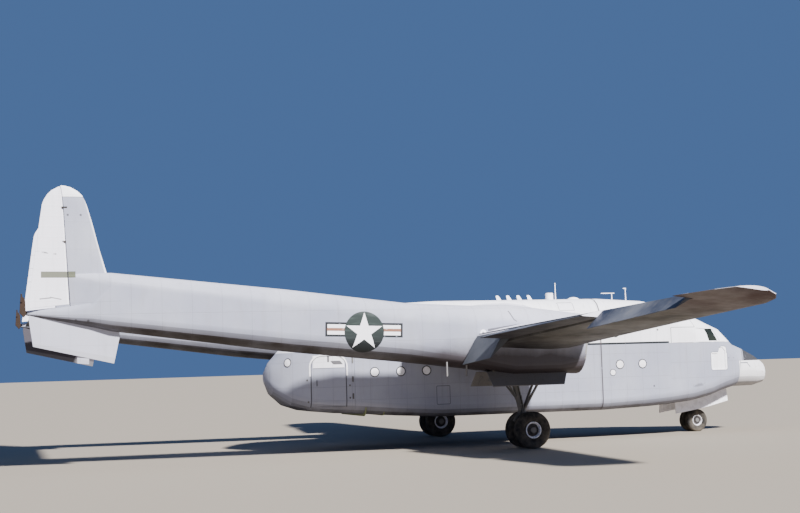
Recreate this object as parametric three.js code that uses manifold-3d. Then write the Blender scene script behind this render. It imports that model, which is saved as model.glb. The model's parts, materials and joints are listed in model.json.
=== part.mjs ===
// Twin-boom military transport plane, parked on its gear, engines and propellers removed.
// Millimetres. X points to the nose, Y to the port side, Z up. The ground is Z = 0.
import * as THREE from 'three';
import { mergeVertices } from 'three/addons/utils/BufferGeometryUtils.js';
import Module from 'manifold-3d';

const wasm = await Module();
wasm.setup();

// Driving dimensions
const LENGTH = 26360;
const BOOM_Y = 4380;
const SKIN_GAP = 0.3;
const MOVING_GAP = 8;

const POD_WALL = 100;
const NOSE_WALL = 130;
const CLAMSHELL_WALL = 90;
const CLAMSHELL_X = -2950;
const COCKPIT_X = 8450;
const RADOME_X = 11420;
const RADOME_TOP = 2500;
const CARGO_FLOOR_TOP = 1300;
const COCKPIT_FLOOR_TOP = 2080;
const COCKPIT_FLOOR_DEPTH = 80;

const BOOM_WALL = 30;
const FIREWALL_X = 3340;
const FIREWALL_DEPTH = 60;

const FLAP_HINGE = 0.78;
const FLAP_DROOP = 42;
const AILERON_DROOP = 30;
const RUDDER_TURN = 12;
const ELEVATOR_DROOP = 4;

const MAIN_WHEEL = { x: 1860, radius: 570, width: 390, rim: 262, spread: 345, axle: 48, bore: 48.6 };
const NOSE_WHEEL = { x: 10200, radius: 400, width: 230, rim: 196, spread: 215, axle: 38, bore: 38.6 };

// Fuselage pod: station x, half width, bottom and top heights, corner radii
const CARGO_POD = [
  { x: -2950, half: 1700, low: 1180, high: 4560, top: 700, bottom: 420 },
  { x: -1500, half: 1750, low: 1060, high: 4730, top: 700, bottom: 400 },
  { x: 0, half: 1750, low: 970, high: 4800, top: 680, bottom: 380 },
  { x: 6000, half: 1750, low: 960, high: 4800, top: 680, bottom: 380 },
  { x: 7700, half: 1750, low: 1020, high: 4700, top: 700, bottom: 400 },
  { x: 8450, half: 1740, low: 1065, high: 4575, top: 740, bottom: 420 },
];
const NOSE_POD = [
  { x: 8450, half: 1740, low: 1065, high: 4575, top: 740, bottom: 420 },
  { x: 9400, half: 1690, low: 1150, high: 4290, top: 820, bottom: 450 },
  { x: 10200, half: 1600, low: 1290, high: 3950, top: 860, bottom: 500 },
  { x: 10800, half: 1500, low: 1470, high: 3700, top: 840, bottom: 520 },
  { x: 11420, half: 1330, low: 1590, high: 3140, top: 760, bottom: 560 },
  { x: 11900, half: 1150, low: 1590, high: 2960, top: 660, bottom: 560 },
  { x: 12500, half: 860, low: 1590, high: 2700, top: 520, bottom: 520 },
  { x: 12950, half: 560, low: 1680, high: 2460, top: 380, bottom: 380 },
  { x: 13180, half: 180, low: 1960, high: 2250, top: 130, bottom: 130 },
];
const REAR_POD = [
  { x: -2950, half: 1700, low: 1180, high: 4560, top: 700, bottom: 420 },
  { x: -3600, half: 1640, low: 1215, high: 4330, top: 700, bottom: 420 },
  { x: -4300, half: 1450, low: 1290, high: 3930, top: 680, bottom: 420 },
  { x: -4900, half: 1120, low: 1480, high: 3400, top: 600, bottom: 420 },
  { x: -5400, half: 600, low: 1850, high: 2920, top: 400, bottom: 400 },
  { x: -5590, half: 200, low: 2250, high: 2600, top: 150, bottom: 150 },
];

// Nacelle and boom on one side: station x, half width, bottom and top heights, corner radii
const BOOM = [
  { x: 3690, half: 790, low: 2270, high: 4165, top: 700, bottom: 620 },
  { x: 2760, half: 800, low: 2290, high: 4290, top: 700, bottom: 380 },
  { x: 1250, half: 800, low: 2300, high: 4480, top: 700, bottom: 360 },
  { x: 0, half: 750, low: 2520, high: 4470, top: 680, bottom: 420 },
  { x: -2060, half: 680, low: 2770, high: 4580, top: 620, bottom: 560 },
  { x: -5800, half: 600, low: 3190, high: 5040, top: 560, bottom: 540 },
  { x: -10850, half: 440, low: 3900, high: 5570, top: 400, bottom: 400 },
  { x: -11400, half: 345, low: 4027, high: 4850, top: 340, bottom: 340 },
  { x: -12000, half: 250, low: 4165, high: 4640, top: 200, bottom: 200 },
  { x: -13180, half: 60, low: 4390, high: 4520, top: 50, bottom: 50 },
];

// Flat-sided root of the fin, growing out of the end of the boom
const FIN_ROOT = [
  { x: -10850, half: 438, low: 4400, high: 5568, top: 398, bottom: 380 },
  { x: -11400, half: 285, low: 4400, high: 5572, top: 250, bottom: 200 },
  { x: -12060, half: 130, low: 4400, high: 5570, top: 105, bottom: 80 },
];

// Wing sections: y, leading edge x and z, trailing edge x and z, thickness over chord
const CENTRE_WING = [
  { y: 900, frontX: 3720, frontZ: 4230, backX: -1100, backZ: 4110, thick: 0.17 },
  { y: 1750, frontX: 3720, frontZ: 4160, backX: -1100, backZ: 4040, thick: 0.18 },
  { y: 4380, frontX: 3660, frontZ: 3335, backX: -1050, backZ: 3220, thick: 0.18 },
];
const OUTER_WING = [
  { y: 4380, frontX: 3660, frontZ: 3335, backX: -1050, backZ: 3220, thick: 0.18 },
  { y: 12000, frontX: 3350, frontZ: 3710, backX: 225, backZ: 3795, thick: 0.135 },
  { y: 15800, frontX: 3240, frontZ: 3895, backX: 865, backZ: 4080, thick: 0.1 },
  { y: 16280, frontX: 3180, frontZ: 3960, backX: 1130, backZ: 4120, thick: 0.085 },
  { y: 16520, frontX: 3030, frontZ: 4030, backX: 1450, backZ: 4165, thick: 0.08 },
  { y: 16650, frontX: 2750, frontZ: 4130, backX: 1900, backZ: 4210, thick: 0.1 },
];
const INNER_FLAP = { from: 5215, to: 6900 };
const OUTER_FLAP = { from: 6912, to: 11880 };
const AILERON = { from: 12010, to: 15600 };

// Colours of the painted and bare surfaces
const COLOURS = {
  grey: 0xc9ccd0,
  white: 0xeeeeea,
  slate: 0x8d949b,
  radome: 0xf1efe8,
  glass: 0xe2e4e0,
  floor: 0x6c6a62,
  rubber: 0x1f1f20,
  steel: 0x8a8d8e,
  wheel: 0xd8d8d2,
  firewall: 0x7b7a76,
};

function finish(colour, roughness = 0.55, metalness = 0.1) {
  return new THREE.MeshStandardMaterial({ color: colour, roughness, metalness });
}

const group = new THREE.Group();
group.name = 'transport_plane';

// Solids from closed triangle meshes, and meshes back from solids
function solidOf(geometry) {
  const bare = geometry.clone();
  Object.keys(bare.attributes).filter((key) => key !== 'position').forEach((key) => bare.deleteAttribute(key));
  const merged = mergeVertices(bare, 1e-3);
  return new wasm.Manifold(new wasm.Mesh({
    numProp: 3,
    vertProperties: Float32Array.from(merged.attributes.position.array),
    triVerts: Uint32Array.from(merged.index.array),
  }));
}

function geometryOf(solid) {
  const mesh = solid.getMesh();
  const geometry = new THREE.BufferGeometry();
  geometry.setAttribute('position', new THREE.BufferAttribute(Float32Array.from(mesh.vertProperties), 3));
  geometry.setIndex(new THREE.BufferAttribute(Uint32Array.from(mesh.triVerts), 1));
  const flat = geometry.toNonIndexed();
  flat.computeVertexNormals();
  return flat;
}

function addPart(name, solid, material, parent = group) {
  const mesh = new THREE.Mesh(geometryOf(solid), material);
  mesh.name = name;
  parent.add(mesh);
  return mesh;
}

// A part that rests turned about its hinge line
function addHinged(name, solid, material, point, axis, degrees) {
  const pivot = new THREE.Group();
  pivot.position.copy(point);
  pivot.setRotationFromAxisAngle(axis.clone().normalize(), THREE.MathUtils.degToRad(degrees));
  const mesh = addPart(name, solid, material, pivot);
  mesh.position.copy(point).negate();
  group.add(pivot);
}

const join = (first, ...rest) => rest.reduce((whole, piece) => whole.add(piece), first);
const cut = (first, ...rest) => rest.reduce((whole, piece) => whole.subtract(piece), first);

// A closed shape through rings of equally many points
function loft(rings) {
  const count = rings[0].length;
  const points = rings.flat();
  const triangles = [];
  for (let ring = 0; ring < rings.length - 1; ring += 1) {
    for (let step = 0; step < count; step += 1) {
      const a = ring * count + step;
      const b = ring * count + (step + 1) % count;
      triangles.push([a, b, b + count], [a, b + count, a + count]);
    }
  }
  const flatten = (ring) => {
    const normal = new THREE.Vector3();
    ring.forEach((point, index) => normal.add(point.clone().cross(ring[(index + 1) % count])));
    const size = [Math.abs(normal.x), Math.abs(normal.y), Math.abs(normal.z)];
    const drop = size.indexOf(Math.max(...size));
    const pick = [(p) => [p.y, p.z], (p) => [p.z, p.x], (p) => [p.x, p.y]][drop];
    return ring.map((point) => new THREE.Vector2(...pick(point)));
  };
  const cap = (ring, start, reverse) => {
    const outline = flatten(ring);
    const turn = Math.sign(THREE.ShapeUtils.area(outline));
    THREE.ShapeUtils.triangulateShape(outline, []).forEach((face) => {
      const same = Math.sign(THREE.ShapeUtils.area(face.map((index) => outline[index]))) === turn;
      const forward = same ? face : [face[0], face[2], face[1]];
      const ordered = reverse ? [forward[0], forward[2], forward[1]] : forward;
      triangles.push(ordered.map((index) => index + start));
    });
  };
  cap(rings[0], 0, true);
  cap(rings.at(-1), points.length - count, false);
  const volume = triangles.reduce((sum, [a, b, c]) => sum + points[a].dot(points[b].clone().cross(points[c])), 0);
  const outward = volume > 0 ? triangles : triangles.map(([a, b, c]) => [a, c, b]);
  const geometry = new THREE.BufferGeometry();
  geometry.setAttribute('position', new THREE.Float32BufferAttribute(points.flatMap((p) => [p.x, p.y, p.z]), 3));
  geometry.setIndex(outward.flat());
  return solidOf(geometry);
}

const at = (x, y, z) => new THREE.Vector3(x, y, z);

function box(x0, x1, y0, y1, z0, z1) {
  const geometry = new THREE.BoxGeometry(x1 - x0, y1 - y0, z1 - z0);
  geometry.translate((x0 + x1) / 2, (y0 + y1) / 2, (z0 + z1) / 2);
  return solidOf(geometry);
}

// A round bar from one point to another
function bar(from, to, radius, sides = 12) {
  const along = to.clone().sub(from);
  const geometry = new THREE.CylinderGeometry(radius, radius, along.length(), sides);
  geometry.applyQuaternion(new THREE.Quaternion().setFromUnitVectors(at(0, 1, 0), along.clone().normalize()));
  geometry.translate(...from.clone().add(to).multiplyScalar(0.5).toArray());
  return solidOf(geometry);
}

// A flat outline in x and z, carried sideways from y0 to y1
function sideways(outline, y0, y1) {
  return loft([y0, y1].map((y) => outline.map(([x, z]) => at(x, y, z))));
}

// A flat outline in x and y, carried upward from z0 to z1
function upward(outline, z0, z1) {
  return loft([z0, z1].map((z) => outline.map(([x, y]) => at(x, y, z))));
}

// A rounded rectangle across the X axis
function podRing({ x, half, low, high, top, bottom }, centreY, inset, steps) {
  const corners = [
    { y: half - bottom, z: low + bottom, radius: bottom - inset, start: -90 },
    { y: half - top, z: high - top, radius: top - inset, start: 0 },
    { y: top - half, z: high - top, radius: top - inset, start: 90 },
    { y: bottom - half, z: low + bottom, radius: bottom - inset, start: 180 },
  ];
  return corners.flatMap((corner) => Array.from({ length: steps + 1 }, (_, step) => {
    const angle = THREE.MathUtils.degToRad(corner.start + 90 * step / steps);
    const y = centreY + corner.y + corner.radius * Math.cos(angle);
    return at(x, y, corner.z + corner.radius * Math.sin(angle));
  }));
}

const BOOM_STEPS = 5;
const podSolid = (stations, inset = 0, centreY = 0, steps = 4) => loft(
  stations.map((station) => podRing(station, centreY, inset, steps)),
);

// Inner hollow of a pod or boom, its end stations moved along X by the given amounts
function hollow(stations, wall, startShift, endShift, centreY = 0, steps = 4) {
  const inner = stations.map((station) => ({ ...station }));
  inner[0].x += startShift;
  inner.at(-1).x += endShift;
  return podSolid(inner, wall, centreY, steps);
}

// Fuselage pod
const cargoSolid = podSolid(CARGO_POD);
const cargoHollow = hollow(CARGO_POD, POD_WALL, -50, 50);
const noseSolid = podSolid(NOSE_POD);
const cockpitHollow = hollow(NOSE_POD.slice(0, 6), NOSE_WALL, -50, 0);
const wholePodGrown = join(
  podSolid(CARGO_POD, -SKIN_GAP),
  podSolid(NOSE_POD, -SKIN_GAP),
);

// Barrels of an upright hinge: at each height the door carries the middle one and its frame the two beside it
const BARREL = { radius: 14, room: 14.9, length: 60, sides: 16 };
function hingeBarrels(x, y, heights) {
  const rows = (starts, radius, grow) => join(...starts.map((z) => bar(
    at(x, y, z - grow), at(x, y, z + BARREL.length + grow), radius, BARREL.sides,
  )));
  const beside = heights.flatMap((z) => [z - BARREL.length - SKIN_GAP, z + BARREL.length + SKIN_GAP]);
  return {
    door: rows(heights, BARREL.radius, 0),
    doorRoom: rows(heights, BARREL.room, SKIN_GAP),
    frame: rows(beside, BARREL.radius, 0),
    frameRoom: rows(beside, BARREL.room, SKIN_GAP),
  };
}

const CREW_DOOR = { x0: 7620, x1: 8310, z0: 1300, z1: 3000, corner: 120 };

// A door outline in x and z with round upper corners
function doorOutline({ x0, x1, z0, z1, corner }, inset = 0) {
  const radius = corner - inset;
  const arc = (centreX, start) => [0, 1, 2, 3].map((step) => {
    const angle = THREE.MathUtils.degToRad(start + 30 * step);
    return [centreX + radius * Math.cos(angle), z1 - corner + radius * Math.sin(angle)];
  });
  return [[x0 + inset, z0 + inset], [x1 - inset, z0 + inset], ...arc(x1 - corner, 0), ...arc(x0 + corner, 90)];
}

const crewOpening = sideways(doorOutline(CREW_DOOR), 1300, 2200);
const crewDoorBlock = sideways(doorOutline(CREW_DOOR, MOVING_GAP), 1300, 2200);

// Hinge lines of the upright doors
const CREW_HINGE = { x: 8306, y: 1752, heights: [1600, 2560] };
const CLAMSHELL_HINGE = { x: -2954, y: 1700, heights: [1750, 2640, 3530] };
const crewBarrels = hingeBarrels(CREW_HINGE.x, CREW_HINGE.y, CREW_HINGE.heights);
const clamshellBarrels = [-1, 1].map((sign) => hingeBarrels(
  CLAMSHELL_HINGE.x, sign * CLAMSHELL_HINGE.y, CLAMSHELL_HINGE.heights,
));

addPart('cargo_fuselage', join(
  cut(
    cargoSolid,
    cargoHollow,
    crewOpening,
    crewBarrels.doorRoom,
    ...clamshellBarrels.map((barrels) => barrels.doorRoom),
  ),
  crewBarrels.frame,
  ...clamshellBarrels.map((barrels) => barrels.frame),
), finish(COLOURS.grey));

addPart('crew_door', join(
  cargoSolid.subtract(cargoHollow).intersect(crewDoorBlock).subtract(crewBarrels.frameRoom),
  crewBarrels.door,
), finish(COLOURS.grey));

const cargoFloorBlock = box(CLAMSHELL_X + 10, COCKPIT_X - SKIN_GAP, -1800, 1800, 0, CARGO_FLOOR_TOP);
addPart('cargo_floor', hollow(CARGO_POD, POD_WALL + SKIN_GAP, 0, 0).intersect(cargoFloorBlock), finish(COLOURS.floor, 0.8));

// Cockpit shell with its windows cut, the radome below the sloping nose deck
const radomeBlock = box(RADOME_X, LENGTH / 2 + 100, -2000, 2000, 0, RADOME_TOP);
const radomeKeep = box(RADOME_X + SKIN_GAP, LENGTH / 2 + 100, -2000, 2000, 0, RADOME_TOP - SKIN_GAP);

const WINDSHIELD = [[10840, -60], [11400, -60], [11260, -820], [10760, -860]];
const SIDE_WINDOW = [[9500, 3250], [10560, 3230], [10420, 3640], [9560, 3700]];
const LOWER_WINDOW = [
  [10150, 2230], [10740, 2230], [10740, 2880], [10640, 2990], [10500, 2990], [10420, 2780], [10150, 2780],
];
const NOSE_BAY = { x0: 9150, x1: 11300, half: 470 };

const mirrored = (outline) => outline.map(([x, y]) => [x, -y]).reverse();

// The same outline drawn in by a small gap towards its middle
function drawnIn(outline, gap) {
  const middle = outline.reduce((sum, [x, y]) => [sum[0] + x / outline.length, sum[1] + y / outline.length], [0, 0]);
  return outline.map(([x, y]) => {
    const reach = Math.hypot(x - middle[0], y - middle[1]);
    const keep = 1 - gap * 1.6 / reach;
    return [middle[0] + (x - middle[0]) * keep, middle[1] + (y - middle[1]) * keep];
  });
}

const windowCuts = {
  windshield_right: (gap) => upward(drawnIn(WINDSHIELD, gap), 2900, 4600),
  windshield_left: (gap) => upward(drawnIn(mirrored(WINDSHIELD), gap), 2900, 4600),
  side_window_right: (gap) => sideways(drawnIn(SIDE_WINDOW, gap), -2200, -900),
  side_window_left: (gap) => sideways(drawnIn(SIDE_WINDOW, gap), 900, 2200),
  lower_window_right: (gap) => sideways(drawnIn(LOWER_WINDOW, gap), -2200, -900),
  lower_window_left: (gap) => sideways(drawnIn(LOWER_WINDOW, gap), 900, 2200),
};

const cockpitWalls = cut(noseSolid, cockpitHollow);
addPart('cockpit_shell', cut(
  cockpitWalls.intersect(box(COCKPIT_X + SKIN_GAP, LENGTH / 2 + 100, -2000, 2000, 0, 5000)),
  radomeBlock,
  box(NOSE_BAY.x0, NOSE_BAY.x1, -NOSE_BAY.half, NOSE_BAY.half, 900, 1900),
  ...Object.values(windowCuts).map((window) => window(0)),
), finish(COLOURS.white));

addPart('nose_radome', noseSolid.intersect(radomeKeep), finish(COLOURS.radome, 0.5));

const GLASS_DEPTH = 25;
const GLASS_THICK = 22;
const glassLayer = podSolid(NOSE_POD, GLASS_DEPTH).subtract(podSolid(NOSE_POD, GLASS_DEPTH + GLASS_THICK));
Object.entries(windowCuts).forEach(([name, window]) => {
  addPart(name, glassLayer.intersect(window(SKIN_GAP)), finish(COLOURS.glass, 0.3, 0));
});

// Cockpit floor with its keels, seats and instrument panel
const SEAT = { x: 9950, y: 560, width: 520, depth: 480, cushion: 2500, back: 3150 };
const seatBlocks = [-SEAT.y, SEAT.y].flatMap((y) => [
  box(SEAT.x, SEAT.x + SEAT.depth, y - SEAT.width / 2, y + SEAT.width / 2, COCKPIT_FLOOR_TOP - 1, SEAT.cushion),
  box(SEAT.x - 120, SEAT.x, y - SEAT.width / 2, y + SEAT.width / 2, COCKPIT_FLOOR_TOP - 1, SEAT.back),
]);
const KEEL = { inner: 480, outer: 540, x0: 8700, x1: 11330 };
const cockpitFrame = join(
  box(COCKPIT_X + 1, RADOME_X - 10, -1700, 1700, COCKPIT_FLOOR_TOP - COCKPIT_FLOOR_DEPTH, COCKPIT_FLOOR_TOP),
  box(KEEL.x0, KEEL.x1, -KEEL.outer, -KEEL.inner, 1000, COCKPIT_FLOOR_TOP - 1),
  box(KEEL.x0, KEEL.x1, KEEL.inner, KEEL.outer, 1000, COCKPIT_FLOOR_TOP - 1),
  box(11080, 11160, -1100, 1100, COCKPIT_FLOOR_TOP - 1, 3000),
  box(10500, 11090, -200, 200, COCKPIT_FLOOR_TOP - 1, 2700),
  ...seatBlocks,
);
const cockpitRoom = hollow(NOSE_POD.slice(0, 6), NOSE_WALL + SKIN_GAP, -50, 0);
addPart('cockpit_floor', cockpitFrame.intersect(cockpitRoom), finish(COLOURS.floor, 0.8));

// Rear clamshell doors, each with its paratroop door
const rearSolid = podSolid(REAR_POD);
const rearHollow = hollow(REAR_POD.slice(0, 5), CLAMSHELL_WALL, 50, 90);
const rearShell = rearSolid.subtract(rearHollow);
const PARATROOP_DOOR = { x0: -4330, x1: -3240, z0: 1430, z1: 3050, corner: 330 };
// The paratroop doors swing inward on arms that reach in from the skin
const PARATROOP_HINGE = { x: -3246, y: 1500, heights: [1700, 2560], armY: 1605, doorX: -3290, frameX: -3205, gap: 8 };
[{ side: 'right', sign: -1 }, { side: 'left', sign: 1 }].forEach(({ side, sign }, index) => {
  const outer = clamshellBarrels[index];
  const { x: hingeX, y: hingeY, heights, armY, doorX, frameX, gap } = PARATROOP_HINGE;
  const inside = hingeBarrels(hingeX, sign * hingeY, heights);
  const arm = (from, to, z) => box(
    from, to,
    Math.min(sign * hingeY, sign * armY), Math.max(sign * hingeY, sign * armY),
    z, z + BARREL.length,
  );
  const doorArms = heights.map((z) => arm(doorX, hingeX - gap, z));
  const frameArms = heights.flatMap((z) => [
    arm(hingeX + gap, frameX, z - BARREL.length - SKIN_GAP),
    arm(hingeX + gap, frameX, z + BARREL.length + SKIN_GAP),
  ]);
  const half = box(
    -6000, CLAMSHELL_X - MOVING_GAP,
    Math.min(sign * 5, sign * 2000), Math.max(sign * 5, sign * 2000),
    0, 5000,
  );
  const near = Math.min(sign * 800, sign * 2200);
  const far = Math.max(sign * 800, sign * 2200);
  const door = rearShell.intersect(half);
  addPart(`clamshell_${side}`, join(
    cut(door, sideways(doorOutline(PARATROOP_DOOR), near, far), outer.frameRoom),
    outer.door,
    inside.frame,
    ...frameArms,
  ), finish(COLOURS.grey));
  const inner = sideways(doorOutline(PARATROOP_DOOR, MOVING_GAP), near, far);
  addPart(`paratroop_door_${side}`, join(door.intersect(inner), inside.door, ...doorArms), finish(COLOURS.white));
});

// Wing sections
function wingRing(section, sign, camber = 0.028) {
  const front = at(section.frontX, 0, section.frontZ);
  const chord = at(section.backX, 0, section.backZ).sub(front);
  const length = chord.length();
  const rise = at(-chord.z, 0, chord.x).multiplyScalar(-1 / length);
  const halfThick = (s) => 5 * section.thick * length * (
    0.2969 * Math.sqrt(s) - 0.126 * s - 0.3516 * s ** 2 + 0.2843 * s ** 3 - 0.1 * s ** 4
  );
  const fractions = [1, 0.88, FLAP_HINGE, 0.6, 0.42, 0.27, 0.14, 0.05, 0.012];
  const point = (s, way) => {
    const height = 4 * camber * length * s * (1 - s) + way * halfThick(s);
    const place = front.clone().addScaledVector(chord, s).addScaledVector(rise, height);
    return at(place.x, sign * section.y, place.z);
  };
  const upper = fractions.map((s) => point(s, 1));
  const lower = fractions.toReversed().map((s) => point(s, -1));
  return [...upper, point(0, 0), ...lower];
}

function sectionAt(table, y) {
  const after = Math.max(1, table.findIndex((row) => row.y >= y));
  const [a, b] = [table[after - 1], table[after]];
  const share = (y - a.y) / (b.y - a.y);
  return Object.fromEntries(Object.keys(a).map((key) => [key, a[key] + (b[key] - a[key]) * share]));
}

// Hinge point, half thickness there and trailing edge of a wing section
function hingeOf(section, sign, camber = 0.028) {
  const ring = wingRing(section, sign, camber);
  const upper = ring[2];
  const lower = ring[ring.length - 3];
  return {
    point: upper.clone().add(lower).multiplyScalar(0.5),
    half: upper.distanceTo(lower) / 2,
    back: ring[0].clone().add(ring.at(-1)).multiplyScalar(0.5),
  };
}

// A ring moved sideways into the plane square to the hinge line
function squared(ring, hinge, axis) {
  return ring.map((point) => {
    const off = point.clone().sub(hinge);
    return at(point.x, point.y - (off.x * axis.x + off.z * axis.z) / axis.y, point.z);
  });
}

// A control surface, cut square to its hinge line: round nose on the hinge, straight to a thin trailing edge
function surfaceRing(hinge, axis, radius, edge = 6, steps = 6) {
  const [back] = squared([hinge.back], hinge.point, axis);
  const along = back.clone().sub(hinge.point).normalize();
  const rise = axis.clone().normalize().cross(along).multiplyScalar(Math.sign(axis.y));
  const nose = Array.from({ length: steps + 1 }, (_, step) => {
    const angle = Math.PI * (0.5 + step / steps);
    const forward = along.clone().multiplyScalar(radius * Math.cos(angle));
    return hinge.point.clone().add(forward).addScaledVector(rise, radius * Math.sin(angle));
  });
  return [back.clone().addScaledVector(rise, edge), ...nose, back.clone().addScaledVector(rise, -edge)];
}

const LIP = 18;

// The space that a flap or aileron turns in, behind the wing's rear spar
function surfaceBay(table, { from, to }, sign, noseCut, withLip) {
  const places = [from - MOVING_GAP, to + MOVING_GAP];
  const hinges = places.map((y) => hingeOf(sectionAt(table, y), sign));
  const axis = hinges[1].point.clone().sub(hinges[0].point);
  const ends = hinges.map((hinge) => {
    const spar = hinge.point.x + hinge.half - noseCut + MOVING_GAP + 6;
    const lipZ = withLip ? hinge.point.z + hinge.half - LIP : hinge.point.z + 900;
    const tip = withLip ? hinge.point.x : spar - 1;
    const slope = withLip ? (spar - tip) * 0.12 : 0;
    const outline = [
      [spar, hinge.point.z - 900], [spar, lipZ + slope], [tip, lipZ], [tip, hinge.point.z + 1000],
      [hinge.point.x - 2500, hinge.point.z + 1000], [hinge.point.x - 2500, hinge.point.z - 900],
    ].map(([x, z]) => at(x, hinge.point.y, z));
    return squared(outline, hinge.point, axis);
  });
  return loft(ends);
}

// A hinge bracket on the spar, hollowed to the round nose of the surface that it carries
const BRACKET = { width: 60, tall: 0.45, gap: 0.5, sides: 48, root: 40 };
function bracketBetween(point, axis, radius, reach) {
  const unit = axis.clone().normalize();
  const ends = [-0.5, 0.5].map((share) => point.clone().addScaledVector(unit, share * BRACKET.width));
  const tall = radius * BRACKET.tall;
  const block = loft(ends.map((end) => [
    at(end.x + radius / 2, end.y, end.z - tall), at(end.x + reach, end.y, end.z - tall),
    at(end.x + reach, end.y, end.z + tall), at(end.x + radius / 2, end.y, end.z + tall),
  ]));
  const room = (radius + BRACKET.gap) / Math.cos(Math.PI / BRACKET.sides);
  const past = unit.clone().multiplyScalar(BRACKET.width);
  return block.subtract(bar(ends[0].clone().sub(past), ends[1].clone().add(past), room, BRACKET.sides));
}

const sides = [{ side: 'right', sign: -1 }, { side: 'left', sign: 1 }];
const NOSE_CUT = { flap: LIP + 10, aileron: 6 };
const BRACKET_PLACES = [0.12, 0.5, 0.88];

// The brackets of one flap or aileron
function wingBrackets({ from, to }, sign, noseCut) {
  const ends = [from, to].map((y) => hingeOf(sectionAt(OUTER_WING, y), sign));
  const axis = ends[1].point.clone().sub(ends[0].point);
  return BRACKET_PLACES.map((share) => {
    const point = ends[0].point.clone().lerp(ends[1].point, share);
    const noseShare = share - BRACKET.width / 2 / axis.length();
    const radius = THREE.MathUtils.lerp(ends[0].half, ends[1].half, noseShare) - noseCut;
    return bracketBetween(point, axis, radius, radius + MOVING_GAP + BRACKET.root);
  });
}

sides.forEach(({ side, sign }) => {
  const boomGrown = podSolid(BOOM, -SKIN_GAP, sign * BOOM_Y, BOOM_STEPS);
  const centre = loft(CENTRE_WING.map((section) => wingRing(section, sign)));
  addPart(`centre_wing_${side}`, cut(centre, boomGrown, wholePodGrown), finish(COLOURS.grey));

  const bays = [
    surfaceBay(OUTER_WING, { from: INNER_FLAP.from - 300, to: OUTER_FLAP.to }, sign, NOSE_CUT.flap, true),
    surfaceBay(OUTER_WING, AILERON, sign, NOSE_CUT.aileron, false),
  ];
  const outer = loft(OUTER_WING.map((section) => wingRing(section, sign)));
  addPart(`outer_wing_${side}`, join(
    cut(outer, boomGrown, ...bays),
    ...wingBrackets(INNER_FLAP, sign, NOSE_CUT.flap),
    ...wingBrackets(OUTER_FLAP, sign, NOSE_CUT.flap),
    ...wingBrackets(AILERON, sign, NOSE_CUT.aileron),
  ), finish(COLOURS.grey));

  const surfaces = [
    { name: `inner_flap_${side}`, reach: INNER_FLAP, nose: NOSE_CUT.flap, turn: -FLAP_DROOP * sign },
    { name: `outer_flap_${side}`, reach: OUTER_FLAP, nose: NOSE_CUT.flap, turn: 0 },
    { name: `aileron_${side}`, reach: AILERON, nose: NOSE_CUT.aileron, turn: AILERON_DROOP },
  ];
  surfaces.forEach(({ name, reach, nose, turn }) => {
    const ends = [reach.from, reach.to].map((y) => hingeOf(sectionAt(OUTER_WING, y), sign));
    const axis = ends[1].point.clone().sub(ends[0].point);
    const solid = loft(ends.map((hinge) => surfaceRing(hinge, axis, hinge.half - nose)));
    addHinged(name, solid, finish(COLOURS.slate), ends[0].point, axis, turn);
  });
});

// Rudder outline: height, trailing edge x, nose radius
const RUDDER = [
  { z: 4680, back: -13165, nose: 106 },
  { z: 7084, back: -12815, nose: 72 },
  { z: 7315, back: -12778, nose: 68 },
  { z: 7520, back: -12748, nose: 62 },
  { z: 7660, back: -12695, nose: 56 },
  { z: 7826, back: -12590, nose: 46 },
  { z: 7942, back: -12468, nose: 36 },
  { z: 8027, back: -12315, nose: 22 },
  { z: 8050, back: -12275, nose: 14 },
];
// How far the trailing corner at the rudder's foot hangs below its hinge
const RUDDER_FOOT_DROP = 110;
const RUDDER_EDGE = 6;
const RUDDER_HINGE = { lowX: -12090, lowZ: 4700, highX: -12240, highZ: 8040 };

function rudderHingeX(z) {
  const share = (z - RUDDER_HINGE.lowZ) / (RUDDER_HINGE.highZ - RUDDER_HINGE.lowZ);
  return RUDDER_HINGE.lowX + (RUDDER_HINGE.highX - RUDDER_HINGE.lowX) * share;
}

function rudderNose(z) {
  const held = THREE.MathUtils.clamp(z, RUDDER[0].z, RUDDER.at(-1).z);
  return sectionAt(RUDDER.map((row) => ({ y: row.z, nose: row.nose })), held).nose;
}

function rudderRing({ z, back, nose }, y) {
  const x = rudderHingeX(z);
  const drop = z === RUDDER[0].z ? RUDDER_FOOT_DROP : 0;
  const arc = [0, 1, 2, 3, 4, 5].map((step) => {
    const angle = Math.PI * (step / 5 - 0.5);
    return at(x + nose * Math.cos(angle), y + nose * Math.sin(angle), z);
  });
  return [at(back, y - RUDDER_EDGE, z - drop), ...arc, at(back, y + RUDDER_EDGE, z - drop)];
}

// Space from the hinge line forward to the fin's rear face
const rudderReach = (z) => rudderNose(z) + MOVING_GAP;
const RUDDER_SPACE = { low: 4300, high: 8200, half: 400, depth: 1500 };

function rudderSpace(y) {
  const { low, high, half, depth } = RUDDER_SPACE;
  return loft([low, ...RUDDER.map((row) => row.z), high].map((z) => {
    const front = rudderHingeX(z) + rudderReach(z);
    return [at(front, y - half, z), at(front, y + half, z), at(front - depth, y + half, z), at(front - depth, y - half, z)];
  }));
}

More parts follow.
